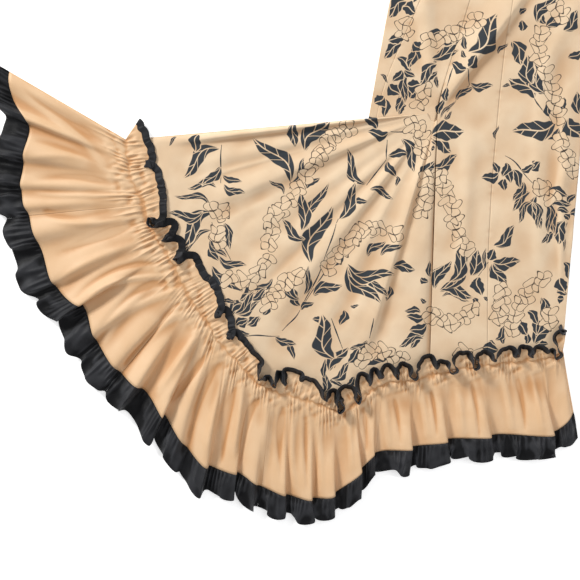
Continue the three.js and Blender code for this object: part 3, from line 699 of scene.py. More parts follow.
# Soft folds: a ridge from (x0, y0) to (x1, y1), its widths to the left and right of it.
BODY_FOLDS = table(
    "x0 y0 x1 y1 left right rise",
    (-84, 492, 72, 765, 54, 13, 15),
    (-100, 520, -150, 760, 26, 22, 6),
    (30, 900, 130, 1120, 30, 26, 6),
    (-40, 930, -140, 1130, 28, 26, 5),
    (150, 120, 138, 640, 26, 30, 5),
    (208, 100, 196, 560, 20, 24, 6),
    (20, 110, -8, 440, 24, 20, 5),
    (60, 60, 96, 300, 16, 22, 3),
    (120, 560, 190, 760, 22, 30, 4),
    (-20, 600, 60, 720, 14, 20, 2.5),
    (170, 300, 214, 420, 12, 20, 3),
)


def body_fold(x, y):
    height = 0
    for x0, y0, x1, y1, left, right, rise in zip(*BODY_FOLDS.values()):
        length = math.hypot(x1 - x0, y1 - y0)
        dx, dy = (x1 - x0) / length, (y1 - y0) / length
        along = ((x - x0) * dx + (y - y0) * dy) / length
        off = (x - x0) * -dy + (y - y0) * dx
        width = np.where(off > 0, left, right) * lerp(0.4, 1, np.clip(along, 0, 1))
        fade = smooth(0, 0.3, along) * (1 - smooth(0.8, 1.25, along))
        height = height + rise * np.exp(-((off / width) ** 2)) * fade
    return height


def ripple(x, y, size, seed):
    """Gentle unevenness, as of cloth that was shaken out and laid down."""
    waves = np.random.default_rng(seed)
    height = 0
    for _ in range(7):
        way, phase = waves.uniform(0, math.pi), waves.uniform(0, 2 * math.pi)
        length = size * waves.uniform(0.6, 1.6)
        height = height + np.sin((x * math.cos(way) + y * math.sin(way)) / length + phase)
    return height / 7


def soft_waves(x, y, waves):
    """Gentle waves laid over one another, each with its height, size and seed."""
    return sum(height * (1 + ripple(x, y, size, seed)) for height, size, seed in waves)


def pucker(distance, along):
    """A seam's dip and its small puckers, at a distance from it."""
    near = np.exp(-((distance / SEAM_REACH) ** 2))
    wave = np.sin(along / 3.1 + 1.3) * np.sin(along / 13.7 + 2.6)
    return near * (0.5 * wave * (np.exp(-distance / 14) + 0.6) - SEAM_DIP) + 0.6 * SEAM_DIP


def centre_seam(row):
    """Straight from the tip of the godet to the gathering line, and the table's above it."""
    gx, gy = gather(CENTRE_K)
    y = column(BODY["y"], row) + gy * (1 - smooth(0, APEX_ROW, row))
    straight = lerp(APEX[0], gx, (APEX[1] - y) / (APEX[1] - gy))
    return np.where(row >= APEX_ROW, column(BODY["centre"], row), straight)


def back_points(left, right, columns, tuck=0, from_k=None, to_k=None):
    """A back panel between two seams; one with 'from_k' and 'to_k' ends at the gathers."""
    row = np.concatenate([np.linspace(0, 5, 170), np.linspace(5, 7, 40)[1:]])[:, None]
    u = np.linspace(0, 1, columns)

    def edges(row):
        first = centre_seam(row) if left == "centre" else column(BODY[left], row)
        second = column(BODY[right], row) - tuck * np.maximum(0, 1 - row / APEX_ROW)
        inner = SEAM_GAP / 2
        return (first + (0 if left == "left_side" else inner),
                second - (0 if right == "right_side" else inner))

    first, second = edges(row)
    x = lerp(first, second, u)
    y = body_level(x, row)
    soft = smooth(500, 560, y) if from_k is None else smooth(0.4, 1.1, row)
    z = BACK + soft * (body_fold(x, y) + soft_waves(x, y, BACK_WAVES))
    if from_k is not None:
        near_gather = 1 - smooth(0, APEX_ROW, row)
        line = gather(lerp(from_k, to_k, u))
        low = edges(np.array([[0.0]]))
        x = x + (line[:, 0] - lerp(*low, u)) * near_gather
        y = y + line[:, 1] * near_gather
        z = z + (TRAIN - BACK) * (1 - smooth(0.35, 0.85, row))
    if left != "left_side":
        z = z + soft * pucker(x - first, y)
    if right != "right_side":
        z = z + soft * pucker(second - x, y)
    return xyz(x, y, np.maximum(z, BACK))


# Each panel's seams, its columns of points, the rest of its shape, and its cut.
BACKS = {
    "side_back_left": ("left_side", "left_princess", 26, 0, None, None, (0.14, 1.31, 0.47)),
    "centre_back_left": ("left_princess", "centre", 40, TRAIN_TUCK, None, None, (0.17, 1.32, 0.6)),
    "centre_back_right": ("centre", "right_princess", 52, 0, CENTRE_K, PRINCESS_K,
                          (0.17, 1.42, 0.62)),
    "side_back_right": ("right_princess", "right_side", 56, 0, PRINCESS_K, LAST,
                        (0.21, 1.40, 0.72)),
}
for node, (*shape, cut) in BACKS.items():
    finish_cloth(node, back_points(*shape), "printed_cotton", cut)

# ---------------------------------------------------------------- the sleeves
# Short plain sleeves of the printed cotton, set into the armholes and lying flat: each is
# one piece, folded round into a tube and open at the hem.

SLEEVE_HEM = ((352, 1004), (384, 1178))
SLEEVE_CROWN, SLEEVE_FOLDS = 5, 1.5


def sleeve_points(side, columns=24, rows=28):
    """The sleeve unrolled: under layer from the fold out, then back over the top."""
    turn = np.linspace(0, 2, 2 * rows)[:, None]
    share = np.where(turn < 1, turn, 2 - turn)
    q = np.linspace(0, 1, columns)
    row = lerp(UNDERARM_ROW, SHOULDER_ROW, lerp(0.01, 0.99, share))
    arm = np.abs(column(BODY["left_side" if side < 0 else "right_side"], row)) + 2 * SEAM_GAP
    level = body_level(arm, row)
    hx = lerp(SLEEVE_HEM[0][0], SLEEVE_HEM[1][0], share)
    hy = lerp(SLEEVE_HEM[0][1], SLEEVE_HEM[1][1], share)
    over = smooth(0.9, 1.1, turn)
    crown = SLEEVE_CROWN * hump(share) * smooth(0, 0.4, q)
    crown = crown + SLEEVE_FOLDS * hump(3 * share) * smooth(0.2, 1, q)
    z = lerp(GROUND, BACK + crown, over)
    return xyz(side * lerp(arm, hx, q), lerp(level, hy, q), z)


for node, side in (("sleeve_left", -1), ("sleeve_right", 1)):
    points = sleeve_points(side)[:, ::-side]
    finish_cloth(node, points, "printed_cotton", (0.37, 0.19, 0.77))

# ---------------------------------------------------------------- the train
# A wide godet of the printed cotton, let into the centre back seam below the seat. It lies
# spread out to the left and folded on its upper edge, so that half of it is underneath.

SEAM_PUFF = 3.6
FLAT_FROM = 0.86  # from here out to the gathers the train lies flat
FOLD_OPENS = 0.28  # a fold comes up to its height over this share of the way out
UNDER_FROM, UNDER_SIDE_ROW = 0.3, 1.85  # where the under half leaves the fold and the side
TRAIN_WAVES = ((1.6, 38, 8), (1.9, 12, 9))

# Folds that run out from the godet's tip: 'at' is 0 on the upper fold and 1 on the seam,
# 'before' and 'after' are a fold's widths to either side, 'starts' how far out it begins.
TRAIN_FOLDS = table(
    "at before after rise starts",
    (0.034, 0.030, 0.012, 10, 0.02),
    (0.13, 0.040, 0.030, 4, 0.10),
    (0.19, 0.016, 0.012, 2, 0.40),
    (0.28, 0.050, 0.026, 9, 0.05),
    (0.35, 0.014, 0.020, 2, 0.45),
    (0.41, 0.040, 0.030, 4, 0.15),
    (0.52, 0.050, 0.030, 6, 0.08),
    (0.58, 0.012, 0.018, 2, 0.50),
    (0.63, 0.044, 0.020, 10, 0.05),
    (0.74, 0.040, 0.026, 5, 0.12),
    (0.80, 0.012, 0.020, 2, 0.40),
    (0.86, 0.056, 0.024, 12, 0.02),
)


def train_points(rows=190, columns=236):
    r = np.linspace(0.03, 1, rows)[:, None]
    u = np.linspace(0, 1, columns)
    line = gather(u * CENTRE_K)
    x = lerp(APEX[0], line[:, 0], r) - SEAM_GAP * (u == 1)
    y = lerp(APEX[1], line[:, 1], r)
    under_header = smooth(FLAT_FROM, 1, r)
    fold = 0
    for at, before, after, rise, starts in zip(*TRAIN_FOLDS.values()):
        width = np.where(u < at, before, after)
        shape = np.exp(-(((u - at) / width) ** 2))
        fold = fold + rise * shape * smooth(starts, starts + FOLD_OPENS, r)
    fold = fold * (1 - smooth(FLAT_FROM - 0.2, FLAT_FROM + 0.04, r))
    puff = SEAM_PUFF * smooth(0.9, 0.96, u) * (1 - smooth(0.985, 1, u)) * (1 - under_header)
    on_ground = (1 - smooth(0, 0.012, u)) * smooth(0.3, 0.42, r) * (1 - under_header)
    on_seam = smooth(0.988, 1, u) * (1 - under_header)
    open_cloth = smooth(0.1, 0.3, r) * (1 - under_header)
    open_cloth = open_cloth * smooth(0, 0.03, u) * (1 - smooth(0.97, 1, u))
    z = lerp(TRAIN, BACK, np.maximum(on_ground, on_seam)) + puff + fold
    return xyz(x, y, z + soft_waves(x, y, TRAIN_WAVES) * open_cloth)


finish_cloth("train_panel", train_points(), "printed_cotton",
             (1.05, 0.70, 0.46))


def lengths_along(line):
    """The length of a line as far as each of its points."""
    return np.concatenate([[0], np.cumsum(np.linalg.norm(np.diff(line, axis=0), axis=1))])


def read_along(values, run, at):
    """What is known at the lengths 'run' of a line, read at other lengths of it."""
    return np.stack([np.interp(at, run, axis) for axis in np.atleast_2d(values.T)], -1)


def between(inner, outer, share):
    """The x and y of places at a share of the way from one line to another."""
    return lerp(inner[:, 0], outer[:, 0], share), lerp(inner[:, 1], outer[:, 1], share)


def train_under_points():
    """The under half, flat on the ground from its upper fold to the body's side seam."""
    t = np.linspace(0, 1, 80)
    edge = gather(lerp(0, CENTRE_K - 0.02, t))
    side_row = np.linspace(UNDER_SIDE_ROW, 0, 60)
    side = np.stack([column(BODY["left_side"], side_row) - 1, column(BODY["y"], side_row)], -1)
    start = lerp(np.array(APEX), gather(0), UNDER_FROM)
    path = np.concatenate([[start], side, [edge[-1]]])
    run = lengths_along(path)
    inner = read_along(path, run, t * run[-1])
    return xyz(*between(inner, edge, np.linspace(0, 1, 60)[:, None]), GROUND)


finish_cloth("train_under", train_under_points(), "printed_cotton",
             (1.03, 0.54, 0.42))

# ---------------------------------------------------------------- the flounce
# Widths of plain cotton joined into one long strip, gathered to the dress by a row of
# stitches some way below its upper edge, so that the edge stands as a wavy header.

# The third colour is the shade painted into the flounce's folds.
COTTONS["plain_cotton"] = cotton(
    "plain cotton", (0.78, 0.525, 0.31, 1), (0.73, 0.465, 0.255, 1), (0.53, 0.24, 0.075, 1),
    roughness=0.55, shine=0.55, stitches=(0.0, 0.213))
FLOUNCE_JOINS = [0, 5, 10, 16, 21, LAST]
JOIN_GAP = 0.002  # in steps of k, as the joins are
FINE_GATHER = 9.5  # from one small gather to the next along the stitches
GATHER_RISE, MID_RISE, CREASE_RISE = 4.32, 2.3, 1.2
HEADER_RISE, HEADER_GATHER_RISE, HEADER_BULGE = 11, 4.16, 3.0
FLOUNCE_WAVES = ((1.7, 17, 4),)
CRINKLES = ((3.4, 2.8, 11), (3.2, 5.6, 12))
DROP_SHARE = 0.55  # how much of its fold's drop the hem takes
SQUEEZE, CLEAR = 0.15, 0.8  # of what hangs too low, and how far it stays over the back
CALM = 0.62  # the folds' share of their height on the train's side

# The line of the header's edge on the plan: it lies in over the panel, turns back on itself
# where the header stands up in a wave, and curls over where two waves crowd together.
HEADER_EDGE = table(
    "across down",
    (136, 124), (143, 136), (148, 150), (150, 160), (145, 167), (150, 168), (155, 172),
    (158, 184), (160, 197), (161, 210), (159, 220), (151, 218), (149, 223), (155, 229),
    (164, 227), (172, 225), (171, 230), (166, 236), (162, 242), (167, 242), (174, 241),
    (180, 244), (178, 251), (174, 260), (178, 264), (184, 262), (189, 258), (194, 258),
    (196, 266), (202, 277), (210, 284), (216, 294), (219, 305), (215, 313), (216, 319),
    (221, 316), (225, 312), (228, 322), (230, 331), (226, 338), (230, 340), (234, 334),
    (242, 342), (251, 353), (260, 360), (257, 369), (259, 379), (265, 381), (268, 377),
    (270, 384), (275, 387), (278, 381), (280, 371), (281, 381), (286, 387), (287, 379),
    (286, 371), (293, 371), (300, 375), (300, 381), (306, 380), (313, 382), (318, 389),
    (322, 398), (327, 401), (330, 395), (334, 391), (335, 401), (338, 411), (344, 409),
    (343, 399), (340, 391), (346, 387), (353, 390), (354, 399), (359, 402), (361, 393),
    (358, 381), (362, 374), (367, 380), (370, 387), (372, 379), (374, 370), (378, 378),
    (383, 378), (383, 369), (389, 366), (393, 375), (398, 379), (399, 370), (402, 364),
    (407, 368), (409, 377), (415, 378), (418, 370), (423, 360), (430, 357), (432, 366),
    (437, 369), (440, 362), (446, 365), (450, 373), (456, 371), (453, 362), (458, 355),
    (465, 354), (470, 360), (472, 368), (477, 366), (478, 357), (484, 352), (489, 358),
    (494, 362), (498, 355), (504, 350), (510, 349), (513, 358), (518, 356), (520, 348),
    (526, 349), (529, 358), (533, 355), (535, 348), (541, 350), (546, 354), (550, 350),
    (553, 358), (558, 355), (556, 345), (554, 337), (559, 333), (565, 336), (562, 329),
    (559, 324),
)


# Creases of the flounce on the plan: a soft ridge, or a trough where 'rise' is below 0, that
# bends from its first place through its second to its third.
CREASES = table(
    "across0 down0 across1 down1 across2 down2 width rise",
    (19, 84, 55, 113, 115, 149, 8, -4), (13, 75, 70, 109, 122, 140, 5, 3),
    (15, 93, 71, 131, 105, 167, 8, 4), (33, 142, 71, 152, 127, 180, 8, -4),
    (25, 162, 80, 158, 125, 185, 8, 4), (32, 181, 83, 179, 131, 191, 9, -4),
    (36, 194, 89, 196, 134, 195, 6, 4), (45, 204, 64, 218, 115, 209, 8, -4),
    (48, 217, 89, 224, 140, 213, 7, 4), (61, 254, 115, 232, 145, 221, 9, -5),
    (60, 285, 90, 262, 150, 240, 9, 4), (75, 300, 112, 272, 160, 262, 7, -5),
    (92, 296, 118, 282, 166, 276, 6, 4), (100, 330, 140, 290, 176, 286, 8, -4),
    (104, 344, 132, 310, 184, 290, 9, 4), (125, 365, 144, 343, 174, 307, 6, -7),
    (138, 350, 160, 325, 190, 312, 10, 4), (160, 390, 182, 357, 204, 325, 9, 6),
    (170, 400, 190, 378, 214, 344, 8, -6), (188, 440, 196, 405, 222, 360, 9, -4),
    (207, 451, 214, 417, 225, 372, 9, 5), (222, 462, 228, 420, 236, 384, 6, -5),
    (234, 451, 241, 405, 243, 382, 8, 5), (238, 461, 246, 424, 258, 397, 8, -6),
    (262, 470, 266, 430, 268, 400, 10, 4), (282, 482, 280, 440, 284, 402, 7, -5),
    (296, 488, 292, 450, 296, 404, 7, 4), (308, 490, 306, 450, 306, 408, 6, -5),
    (322, 492, 320, 455, 318, 412, 8, 4), (352, 470, 350, 440, 348, 416, 6, 4),
    (366, 452, 366, 430, 362, 402, 6, -5), (390, 448, 386, 420, 384, 396, 8, 4),
    (400, 444, 398, 420, 394, 398, 5, -4), (428, 438, 424, 412, 420, 392, 7, 4),
    (436, 436, 434, 410, 430, 390, 5, -5), (462, 440, 460, 412, 456, 384, 8, 4),
    (478, 440, 476, 410, 470, 380, 6, -5), (512, 430, 508, 404, 502, 374, 8, 4),
    (524, 430, 522, 404, 516, 372, 6, -5), (540, 430, 536, 400, 530, 370, 6, 3),
)


def draw_creases(x, y):
    """The height that the creases add at places of the flounce."""
    height = np.zeros(np.broadcast(x, y).shape)
    for x0, y0, x1, y1, x2, y2, width, rise in zip(*CREASES.values()):
        t = np.linspace(0, 1, 61)[:, None]
        line, _ = bent_line([plan(x0, y0), plan(x1, y1), plan(x2, y2)], t)
        low, high = line.min(axis=0) - 3 * width, line.max(axis=0) + 3 * width
        near = (x > low[0]) & (x < high[0]) & (y > low[1]) & (y < high[1])
        if near.any():
            gaps = np.hypot(x[near][:, None] - line[:, 0], y[near][:, None] - line[:, 1])
            fade = np.sin(np.pi * (gaps.argmin(axis=1) + 1) / (len(t) + 1)) ** 0.6
            height[near] += rise * fade * np.exp(-((gaps.min(axis=1) / width) ** 2))
    return height


LENGTH_K = np.linspace(0, LAST, 2001)
LENGTHS = lengths_along(gather(LENGTH_K))


def gather_length(k):
    return np.interp(k, LENGTH_K, LENGTHS)


def ways(k):
    """Out from the gathering line to the hem, along the hem, and in over the panel."""
    out = unit(hem(k) - gather(k))
    along = unit(hem(np.minimum(LAST, k + 0.5)) - hem(np.maximum(0, k - 0.5)))
    middle = np.clip(k, 1, LAST - 1)
    run = unit(gather(middle + 1) - gather(middle - 1))
    return out, along, np.stack([-run[..., 1], run[..., 0]], -1)


def fine_gathers(k):
    """Small uneven gathers along the stitches, from 0 in a valley to 1 on a ridge."""
    s = gather_length(k)
    uneven = 0.5 * np.sin(s / 31) + 0.35 * np.sin(s / 11.3 + 1) + 0.2 * np.sin(s / 71)
    phase = s / FINE_GATHER + uneven
    ridge = 1 - np.abs(np.sin(np.pi * phase)) ** 0.8
    return ridge * (0.55 + 0.45 * np.sin(s / 8.3 + 2 * np.sin(s / 23)))


def mid_folds(k):
    """Folds a few centimetres wide between the gathers and the great folds."""
    s = gather_length(k)
    wave = 0.5 + 0.5 * np.sin(s / 5.3 + 1.7 * np.sin(s / 27) + 1.1 * np.sin(s / 12.1))
    return wave * smooth(-0.5, 0.9, np.sin(s / 33 + 1.5 * np.sin(s / 47)))


def crinkle(x, y):
    """Short creases pressed into the cloth round the stitches."""
    return sum(height * ripple(x, y, size, seed) for height, size, seed in CRINKLES)


def stitched(k):
    """The gathering line, drawn up unevenly by its stitches."""
    s = gather_length(k)
    _, _, inward = ways(k)
    pull = 1.3 * np.sin(s / 3.3 + 2 * np.sin(s / 13)) + 0.9 * np.sin(s / 7.9 + 1)
    return gather(k) + inward * pull[..., None] * smooth(0, 20, s)[..., None]


def flounce_points(v, k):
    """The flounce below its stitches: v is 0 on the gathers and 1 on the hem."""
    i = np.clip(np.floor(k).astype(int), 0, LAST - 1)
    bump = hump((k - i) ** (0.75 + 0.7 * (i * 0.618 % 1)))
    out, along, _ = ways(k)
    v = v[:, None]
    lean = FOLDS["lean"][i] * bump * v
    drop = DROP_SHARE * FOLDS["drop"][i] * bump * v
    base = lerp(FLOUNCE, BACK, smooth(0, 0.4, v))
    s = gather_length(k)
    fine_reach = 0.17 + 0.12 * np.sin(s / 17 + 1.3 * np.sin(s / 41))
    fine = fine_gathers(k) * smooth(-0.02, 0.05, v) * (1 - smooth(0.04, fine_reach + 0.12, v))
    reach = 0.55 + 0.3 * np.sin(s / 23 + 1.2 * np.sin(s / 9.7))
    middle = mid_folds(k) * smooth(0.03, 0.25, v) * (1 - smooth(reach - 0.3, reach + 0.25, v))
    great = FOLDS["rise"][i] * bump * smooth(-0.1 + 0.35 * (i * 0.37 % 1), 0.9, v)
    calm = lerp(CALM, 1, smooth(6, 10, k))
    z = base + GATHER_RISE * fine + calm * (MID_RISE * middle + great)
    z = z + 1.5 * smooth(0.0, 0.06, v) * (1 - smooth(0.1, 0.5, v))
    x, y = between(stitched(k), hem(k), v)
    x = x + along[:, 0] * lean + out[:, 0] * drop
    y = y + along[:, 1] * lean + out[:, 1] * drop
    z = z + soft_waves(x, y, FLOUNCE_WAVES) * smooth(0.1, 0.5, v)
    creased = smooth(0.02, 0.15, v) * (1 - 0.3 * smooth(0.9, 1, v))
    z = z + CREASE_RISE * calm * draw_creases(x, y) * creased
    z = np.maximum(z, BACK + SQUEEZE * (z - BACK) + CLEAR)
    z = z + (0.6 + crinkle(x, y)) * smooth(-0.02, 0.03, v) * (1 - smooth(0.06, 0.26, v))
    return xyz(x, y, z)


def draw_header_edge(spacing=0.5):
    """Points close together along the header's edge, with their k and how high they stand."""
    count = len(HEADER_EDGE["across"])
    row = np.linspace(0, count - 1, 12 * count)
    x, y = plan(*(soften(np.interp(row, np.arange(count), HEADER_EDGE[name]), 5)
                  for name in ("across", "down")))
    path = np.stack([x, y], -1)
    run = lengths_along(path)
    at = np.arange(0, run[-1], spacing)
    edge = read_along(path, run, at)
    edge = edge + 1.2 * np.stack([np.sin(at / 3.7 + 2 * np.sin(at / 13)),
                                  np.sin(at / 4.3 + 2 * np.sin(at / 17))], -1)
    line_k = np.linspace(0, LAST, 1400)
    line = gather(line_k)
    nearest = np.array([np.argmin(((line - point) ** 2).sum(axis=1)) for point in edge])
    depth = np.linalg.norm(edge - line[nearest], axis=1)
    k = soften(np.maximum.accumulate(line_k[nearest]), 30 / spacing)
    k = np.interp(k + at * 1e-6, [k[0], k[-1] + at[-1] * 1e-6], [0, LAST])
    far = soften(np.array([depth[max(0, i - 50):i + 50].max() for i in range(len(depth))]), 40)
    stands = soften(np.clip(1.1 * (1 - depth / np.maximum(far, 12)), 0, 1), 6 / spacing)
    return at, edge, k, stands


def soften(values, width):
    """A moving mean over 'width' values, which keeps both ends in place."""
    width = int(width)
    padded = np.concatenate([np.full(width, values[0]), values, np.full(width, values[-1])])
    kernel = np.hanning(2 * width + 1)
    return np.convolve(padded, kernel / kernel.sum(), mode="valid")


EDGE_RUN, EDGE, EDGE_K, EDGE_STANDS = draw_header_edge()


def along_edge(values, at):
    return read_along(values, EDGE_RUN, at)


def header_points(t, at):
    """The header from the stitches, t = 0, to its edge, t = 1, at places along that edge."""
    k = along_edge(EDGE_K, at)[:, 0]
    stands = along_edge(EDGE_STANDS, at)[:, 0]
    t = t[:, None]
    fine = fine_gathers(k) * smooth(-0.02, 0.2, t) * (1 - 0.7 * smooth(0.3, 1, t))
    z = FLOUNCE + HEADER_GATHER_RISE * fine + 1.2 * t + HEADER_RISE * stands * t ** 1.4
    z = z + HEADER_BULGE * np.sin(np.pi * t ** 0.7) * (0.4 + 0.6 * stands)
    x, y = between(stitched(k), along_edge(EDGE, at), t)
    z = z + (0.6 + crinkle(x, y)) * smooth(-0.05, 0.1, t) * (1 - 0.8 * smooth(0.55, 0.95, t))
    return xyz(x, y, z)


def inside_joins(first, last):
    """The two ends of a width of cloth, each a little before its join."""
    return np.array([first + JOIN_GAP * (first > 0), last - JOIN_GAP * (last < LAST)])


def evenly(ends, spacing):
    return np.linspace(*ends, int((ends[1] - ends[0]) / spacing) + 1)


def columns_of(first, last, spacing):
    """Places k at an even spacing along the gathers between two joins."""
    ends = gather_length(inside_joins(first, last))
    return np.interp(evenly(ends, spacing), LENGTHS, LENGTH_K)


def edge_columns(first, last, spacing):
    """Places along the header's edge between two joins, closer where the cloth is fuller."""
    measure = 0.45 * EDGE_RUN + 0.9 * gather_length(EDGE_K)
    runs = np.interp(inside_joins(first, last), EDGE_K, EDGE_RUN)
    return np.interp(evenly(np.interp(runs, EDGE_RUN, measure), spacing), measure, EDGE_RUN)


HEADER_ROWS = np.linspace(1, 0, 18)[:-1]
FLOUNCE_ROWS = np.concatenate([np.linspace(0, 0.3, 16), np.linspace(0.3, 1, 24)[1:]])
FULLNESS = 1.9  # how much longer the strip is than the line it is sewn to
FLOUNCE_CUTS = [(0.38, 0.33, 0.62), (0.44, 0.30, 0.75), (0.47, 0.30, 0.74), (0.33, 0.27, 0.85),
                (0.50, 0.22, 0.88)]
STRIP_DEPTH, HEADER_SHARE = 220, 0.2  # of the strip below its stitches, and above them


def strip_map(along, across):
    """The cloth's own places, along and across a strip."""
    return np.stack(np.broadcast_arrays(along, across[:, None]), -1)


def widths(joins, cuts):
    """The number, first and last k, and cut of each width between two joins."""
    return zip(range(1, len(joins)), joins, joins[1:], cuts)


for number, first, last, cut in widths(FLOUNCE_JOINS, FLOUNCE_CUTS):
    at = edge_columns(first, last, 1.4)
    k = along_edge(EDGE_K, at)[:, 0]
    points = np.concatenate([header_points(HEADER_ROWS, at), flounce_points(FLOUNCE_ROWS, k)])
    across = np.concatenate([-HEADER_ROWS * HEADER_SHARE, FLOUNCE_ROWS]) * STRIP_DEPTH
    finish_cloth(f"flounce_{number}", points, "plain_cotton", cut,
                 strip_map(gather_length(k) * FULLNESS, across))

# ---------------------------------------------------------------- the header's binding
# A narrow strip of black cotton folded over the header's edge and stitched down. It keeps
# its width round every wave and tips up where the header stands.

# The third colour is the shade painted into the black cotton's folds.
COTTONS["black_cotton"] = cotton(
    "black cotton", (0.020, 0.0205, 0.023, 1), (0.037, 0.038, 0.043, 1),
    (0.0005, 0.0005, 0.001, 1), roughness=0.46, shine=0.12, stitches=(0.055,))
BINDING_WIDTH, BINDING_WALL = 16.5, 1.6
BINDING_ROWS = np.linspace(1, 0, 8)

# How far the binding tips up, in degrees: on the train's side, how much more past it, and
# where the header stands.
FLAT_TIP, MORE_TIP, STANDING_TIP = 6, 46, 100


def binding_points(rows, at):
    """The binding from the header's edge, row 0, to its own, row 1."""
    edge = header_points(np.array([1.0]), at)[0]
    run = unit(np.gradient(edge[:, :2], axis=0))
    run = unit(np.stack([soften(run[:, 0], 3), soften(run[:, 1], 3)], -1))
    aside = np.stack([-run[:, 1], run[:, 0]], -1)
    stands = along_edge(EDGE_STANDS, at)[:, 0]
    k = along_edge(EDGE_K, at)[:, 0]
    low_tip = FLAT_TIP + MORE_TIP * smooth(12.5, 15, k)
    tip = np.radians(lerp(low_tip, STANDING_TIP, smooth(0.25, 1, stands)))
    across = rows[:, None] * BINDING_WIDTH - 1.0
    x = edge[:, 0] + aside[:, 0] * np.cos(tip) * across
    y = edge[:, 1] + aside[:, 1] * np.cos(tip) * across
    uneven = 0.4 * np.sin(at / 2.3 + 2 * np.sin(at / 11)) * np.sin(np.pi * rows[:, None])
    z = edge[:, 2] + np.sin(tip) * across + uneven
    return xyz(x, y, np.maximum(z, FLOUNCE + 0.4))


BINDING_CUTS = [(length, 0.016, 1) for length in (0.27, 0.53, 0.54, 0.75, 1.1)]
for number, first, last, cut in widths(FLOUNCE_JOINS, BINDING_CUTS):
    at = edge_columns(first, last, 1.0)
    finish_cloth(f"header_binding_{number}", binding_points(BINDING_ROWS, at), "black_cotton",
                 cut,
                 strip_map(at, BINDING_ROWS * BINDING_WIDTH), BINDING_WALL)

# ---------------------------------------------------------------- the hem ruffle
# A strip of the black cotton, gathered to the flounce's lower edge all the way round and
# hemmed. Its small gathers open into flutes that curl at the outer edge.

RUFFLE_DEPTH = 47
LEFT_DEPTH = 15  # how much deeper the ruffle lies open on the train's side
FLUTE = 46  # from one flute to the next along the hem
FLUTE_RISE, FLUTE_CURL, FLUTE_REACH = 12, 9, 3.5
UNEVEN_REACH, HEM_SINK = 4, 0.35
SMALL_GATHER, SMALL_RISE = 12.5, 5.0
RUFFLE_WAVES = ((2.6, 6, 3),)
RUFFLE_STRIP = 60  # depth of the ruffle's own strip of cloth
STRIP_SHIFT = 60  # how far its waves move on from its edge to its hem
NOTCH = 12  # how far the hem draws in at each valley of the flounce


def flounce_edge(k):
    return flounce_points(np.array([1.0]), k)[0]


HEM_K = np.linspace(0, LAST, 4001)
HEM_LENGTHS = lengths_along(flounce_edge(HEM_K)[:, :2])


def ruffle_points(w, k):
    """The ruffle from the flounce's edge, w = 0, to its own hem, w = 1."""
    start = flounce_edge(k)
    out, along, _ = ways(k)
    s = np.interp(k, HEM_K, HEM_LENGTHS)
    w = w[:, None]
    phase = 2 * np.pi * (s / FLUTE + 0.22 * np.sin(s / 37) + 0.15 * np.sin(s / 16.1 + 1))
    strength = 0.6 + 0.4 * np.sin(s / 29 + 1.3 * np.sin(s / 67))
    flute = 0.5 - 0.5 * np.cos(phase)
    small = s / SMALL_GATHER + 0.7 * np.sin(s / 29) + 0.35 * np.sin(s / 10.7)
    fine = 1 - np.abs(np.sin(np.pi * small)) ** 0.8
    reach = RUFFLE_DEPTH + LEFT_DEPTH * (1 - smooth(12.5, 17.5, k))
    reach = reach + FLUTE_REACH * np.cos(phase + 0.6) * strength
    reach = reach + UNEVEN_REACH * (1 + np.sin(s / 31 + np.sin(s / 13)))
    valley = np.where((k > 0.5) & (k < LAST - 0.5), np.abs(k - np.round(k)), 1)
    reach = reach - NOTCH * np.exp(-((valley / 0.2) ** 2))
    curl = FLUTE_CURL * strength * np.sin(phase) * w ** 1.5
    sink = (start[:, 2] - BACK) * HEM_SINK * smooth(0, 1, w)
    z = start[:, 2] - sink + FLUTE_RISE * strength * flute * smooth(0.02, 0.6, w)
    length = 0.5 + 0.35 * np.sin(s / 11 + 2 * np.sin(s / 37))
    z = z + SMALL_RISE * fine * smooth(0, 0.1, w) * (1 - smooth(length - 0.2, length + 0.3, w))
    crumple = soft_waves(start[:, 0] + STRIP_SHIFT * w, start[:, 1] + STRIP_SHIFT * w, RUFFLE_WAVES)
    z = z + crumple * smooth(0.1, 0.6, w)
    x = start[:, 0] + out[:, 0] * reach * w + along[:, 0] * curl
    y = start[:, 1] + out[:, 1] * reach * w + along[:, 1] * curl
    return xyz(x, y, np.maximum(z, BACK))


RUFFLE_ROWS = np.linspace(0, 1, 17)
RUFFLE_CUTS = [(0.42, 0.062, 1), (0.55, 0.061, 1), (0.56, 0.058, 1), (0.38, 0.049, 1),
               (0.61, 0.05, 1)]
for number, first, last, cut in widths(FLOUNCE_JOINS, RUFFLE_CUTS):
    k = columns_of(first, last, 0.9)
    cloth_map = strip_map(gather_length(k) * FULLNESS, RUFFLE_ROWS * RUFFLE_STRIP)
    finish_cloth(f"hem_ruffle_{number}", ruffle_points(RUFFLE_ROWS, k), "black_cotton",
                 cut, cloth_map)

# ---------------------------------------------------------------- the under layers
# The flounce and its ruffle go on round the front of the dress, and lie flat on the ground
# under the back's, with a narrow edge kept inside it.

UNDER_JOINS = [0, 9, 18, LAST]
UNDER_CUTS = 3 * [((0.62, 0.25, 0.62), (0.66, 0.054, 0.9))]
UNDER_INSET = 6
EDGE_GAP = 0.9


def under_points(near, near_out, far, far_out, k, rows):
    """A flat layer between two lines, each moved out by a distance."""
    out, _, _ = ways(k)
    w = np.linspace(0, 1, rows)[:, None]
    return xyz(*between(near(k) + out * near_out, far(k) + out * far_out, w), GROUND)


for number, first, last, (upper_cut, lower_cut) in widths(UNDER_JOINS, UNDER_CUTS):
    k = columns_of(first, last, 4)
    upper = under_points(gather, EDGE_GAP, hem, -UNDER_INSET, k, 30)
    lower = under_points(hem, EDGE_GAP - UNDER_INSET, hem, RUFFLE_DEPTH - UNDER_INSET, k, 10)
    finish_cloth(f"flounce_under_{number}", upper, "plain_cotton", upper_cut)
    finish_cloth(f"hem_ruffle_under_{number}", lower, "black_cotton", lower_cut)

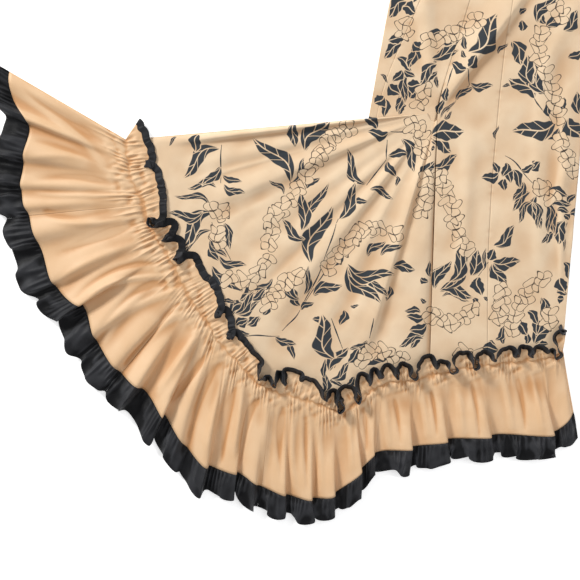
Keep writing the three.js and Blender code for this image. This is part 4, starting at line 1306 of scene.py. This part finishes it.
# ---------------------------------------------------------------- floor, light and camera
# A plain pale floor, soft light from above and a little to one side, and a camera that
# looks straight down on the spread train.

bpy.ops.mesh.primitive_plane_add(size=14, location=(0, 0, 0))
floor = bpy.context.object
floor.name = "floor"
floor_paint = bpy.data.materials.new("pale floor")
floor_paint.use_nodes = True
paint = floor_paint.node_tree.nodes["Principled BSDF"].inputs
paint["Base Color"].default_value = (0.95, 0.95, 0.95, 1)
paint["Roughness"].default_value = 0.9
paint["Emission Color"].default_value = (1, 1, 1, 1)
paint["Emission Strength"].default_value = 0.5
floor.data.materials.append(floor_paint)

LOOK_AT = ((PLAN_PLACE[0] + ORIGIN[0]) * MM, (PLAN_PLACE[1] + ORIGIN[1]) * MM)


def soft_light(name, place, size, power, colour):
    data = bpy.data.lights.new(name, "AREA")
    data.size = size
    data.energy = power
    data.color = colour
    lamp = bpy.data.objects.new(name, data)
    bpy.context.collection.objects.link(lamp)
    lamp.location = (LOOK_AT[0] + place[0], LOOK_AT[1] + place[1], place[2])
    aim = Vector((*LOOK_AT, 0)) - lamp.location
    lamp.rotation_euler = aim.to_track_quat("-Z", "Y").to_euler()


soft_light("window light", (-4.2, 3.5, 3.0), 1.3, 330, (1, 0.99, 0.96))
soft_light("fill light", (1.7, 0.3, 2.4), 2.4, 22, (0.98, 0.98, 1))

world = bpy.data.worlds.new("room")
world.use_nodes = True
sky = world.node_tree.nodes["Background"].inputs
sky["Color"].default_value = (1, 1, 1, 1)
sky["Strength"].default_value = 0.43
bpy.context.scene.world = world
bpy.context.scene.view_settings.view_transform = "Standard"

PLAN_SIDE = 2 * PLAN_MIDDLE * PLAN_STEP * MM
CAMERA_HEIGHT, SENSOR = 2.4, 36
camera_data = bpy.data.cameras.new("camera")
camera_data.sensor_width = SENSOR
camera_data.lens = SENSOR * CAMERA_HEIGHT / PLAN_SIDE
camera = bpy.data.objects.new("camera", camera_data)
bpy.context.collection.objects.link(camera)
camera.location = (*LOOK_AT, CAMERA_HEIGHT)
camera.rotation_euler = (0, 0, PLAN_TURN)
bpy.context.scene.camera = camera
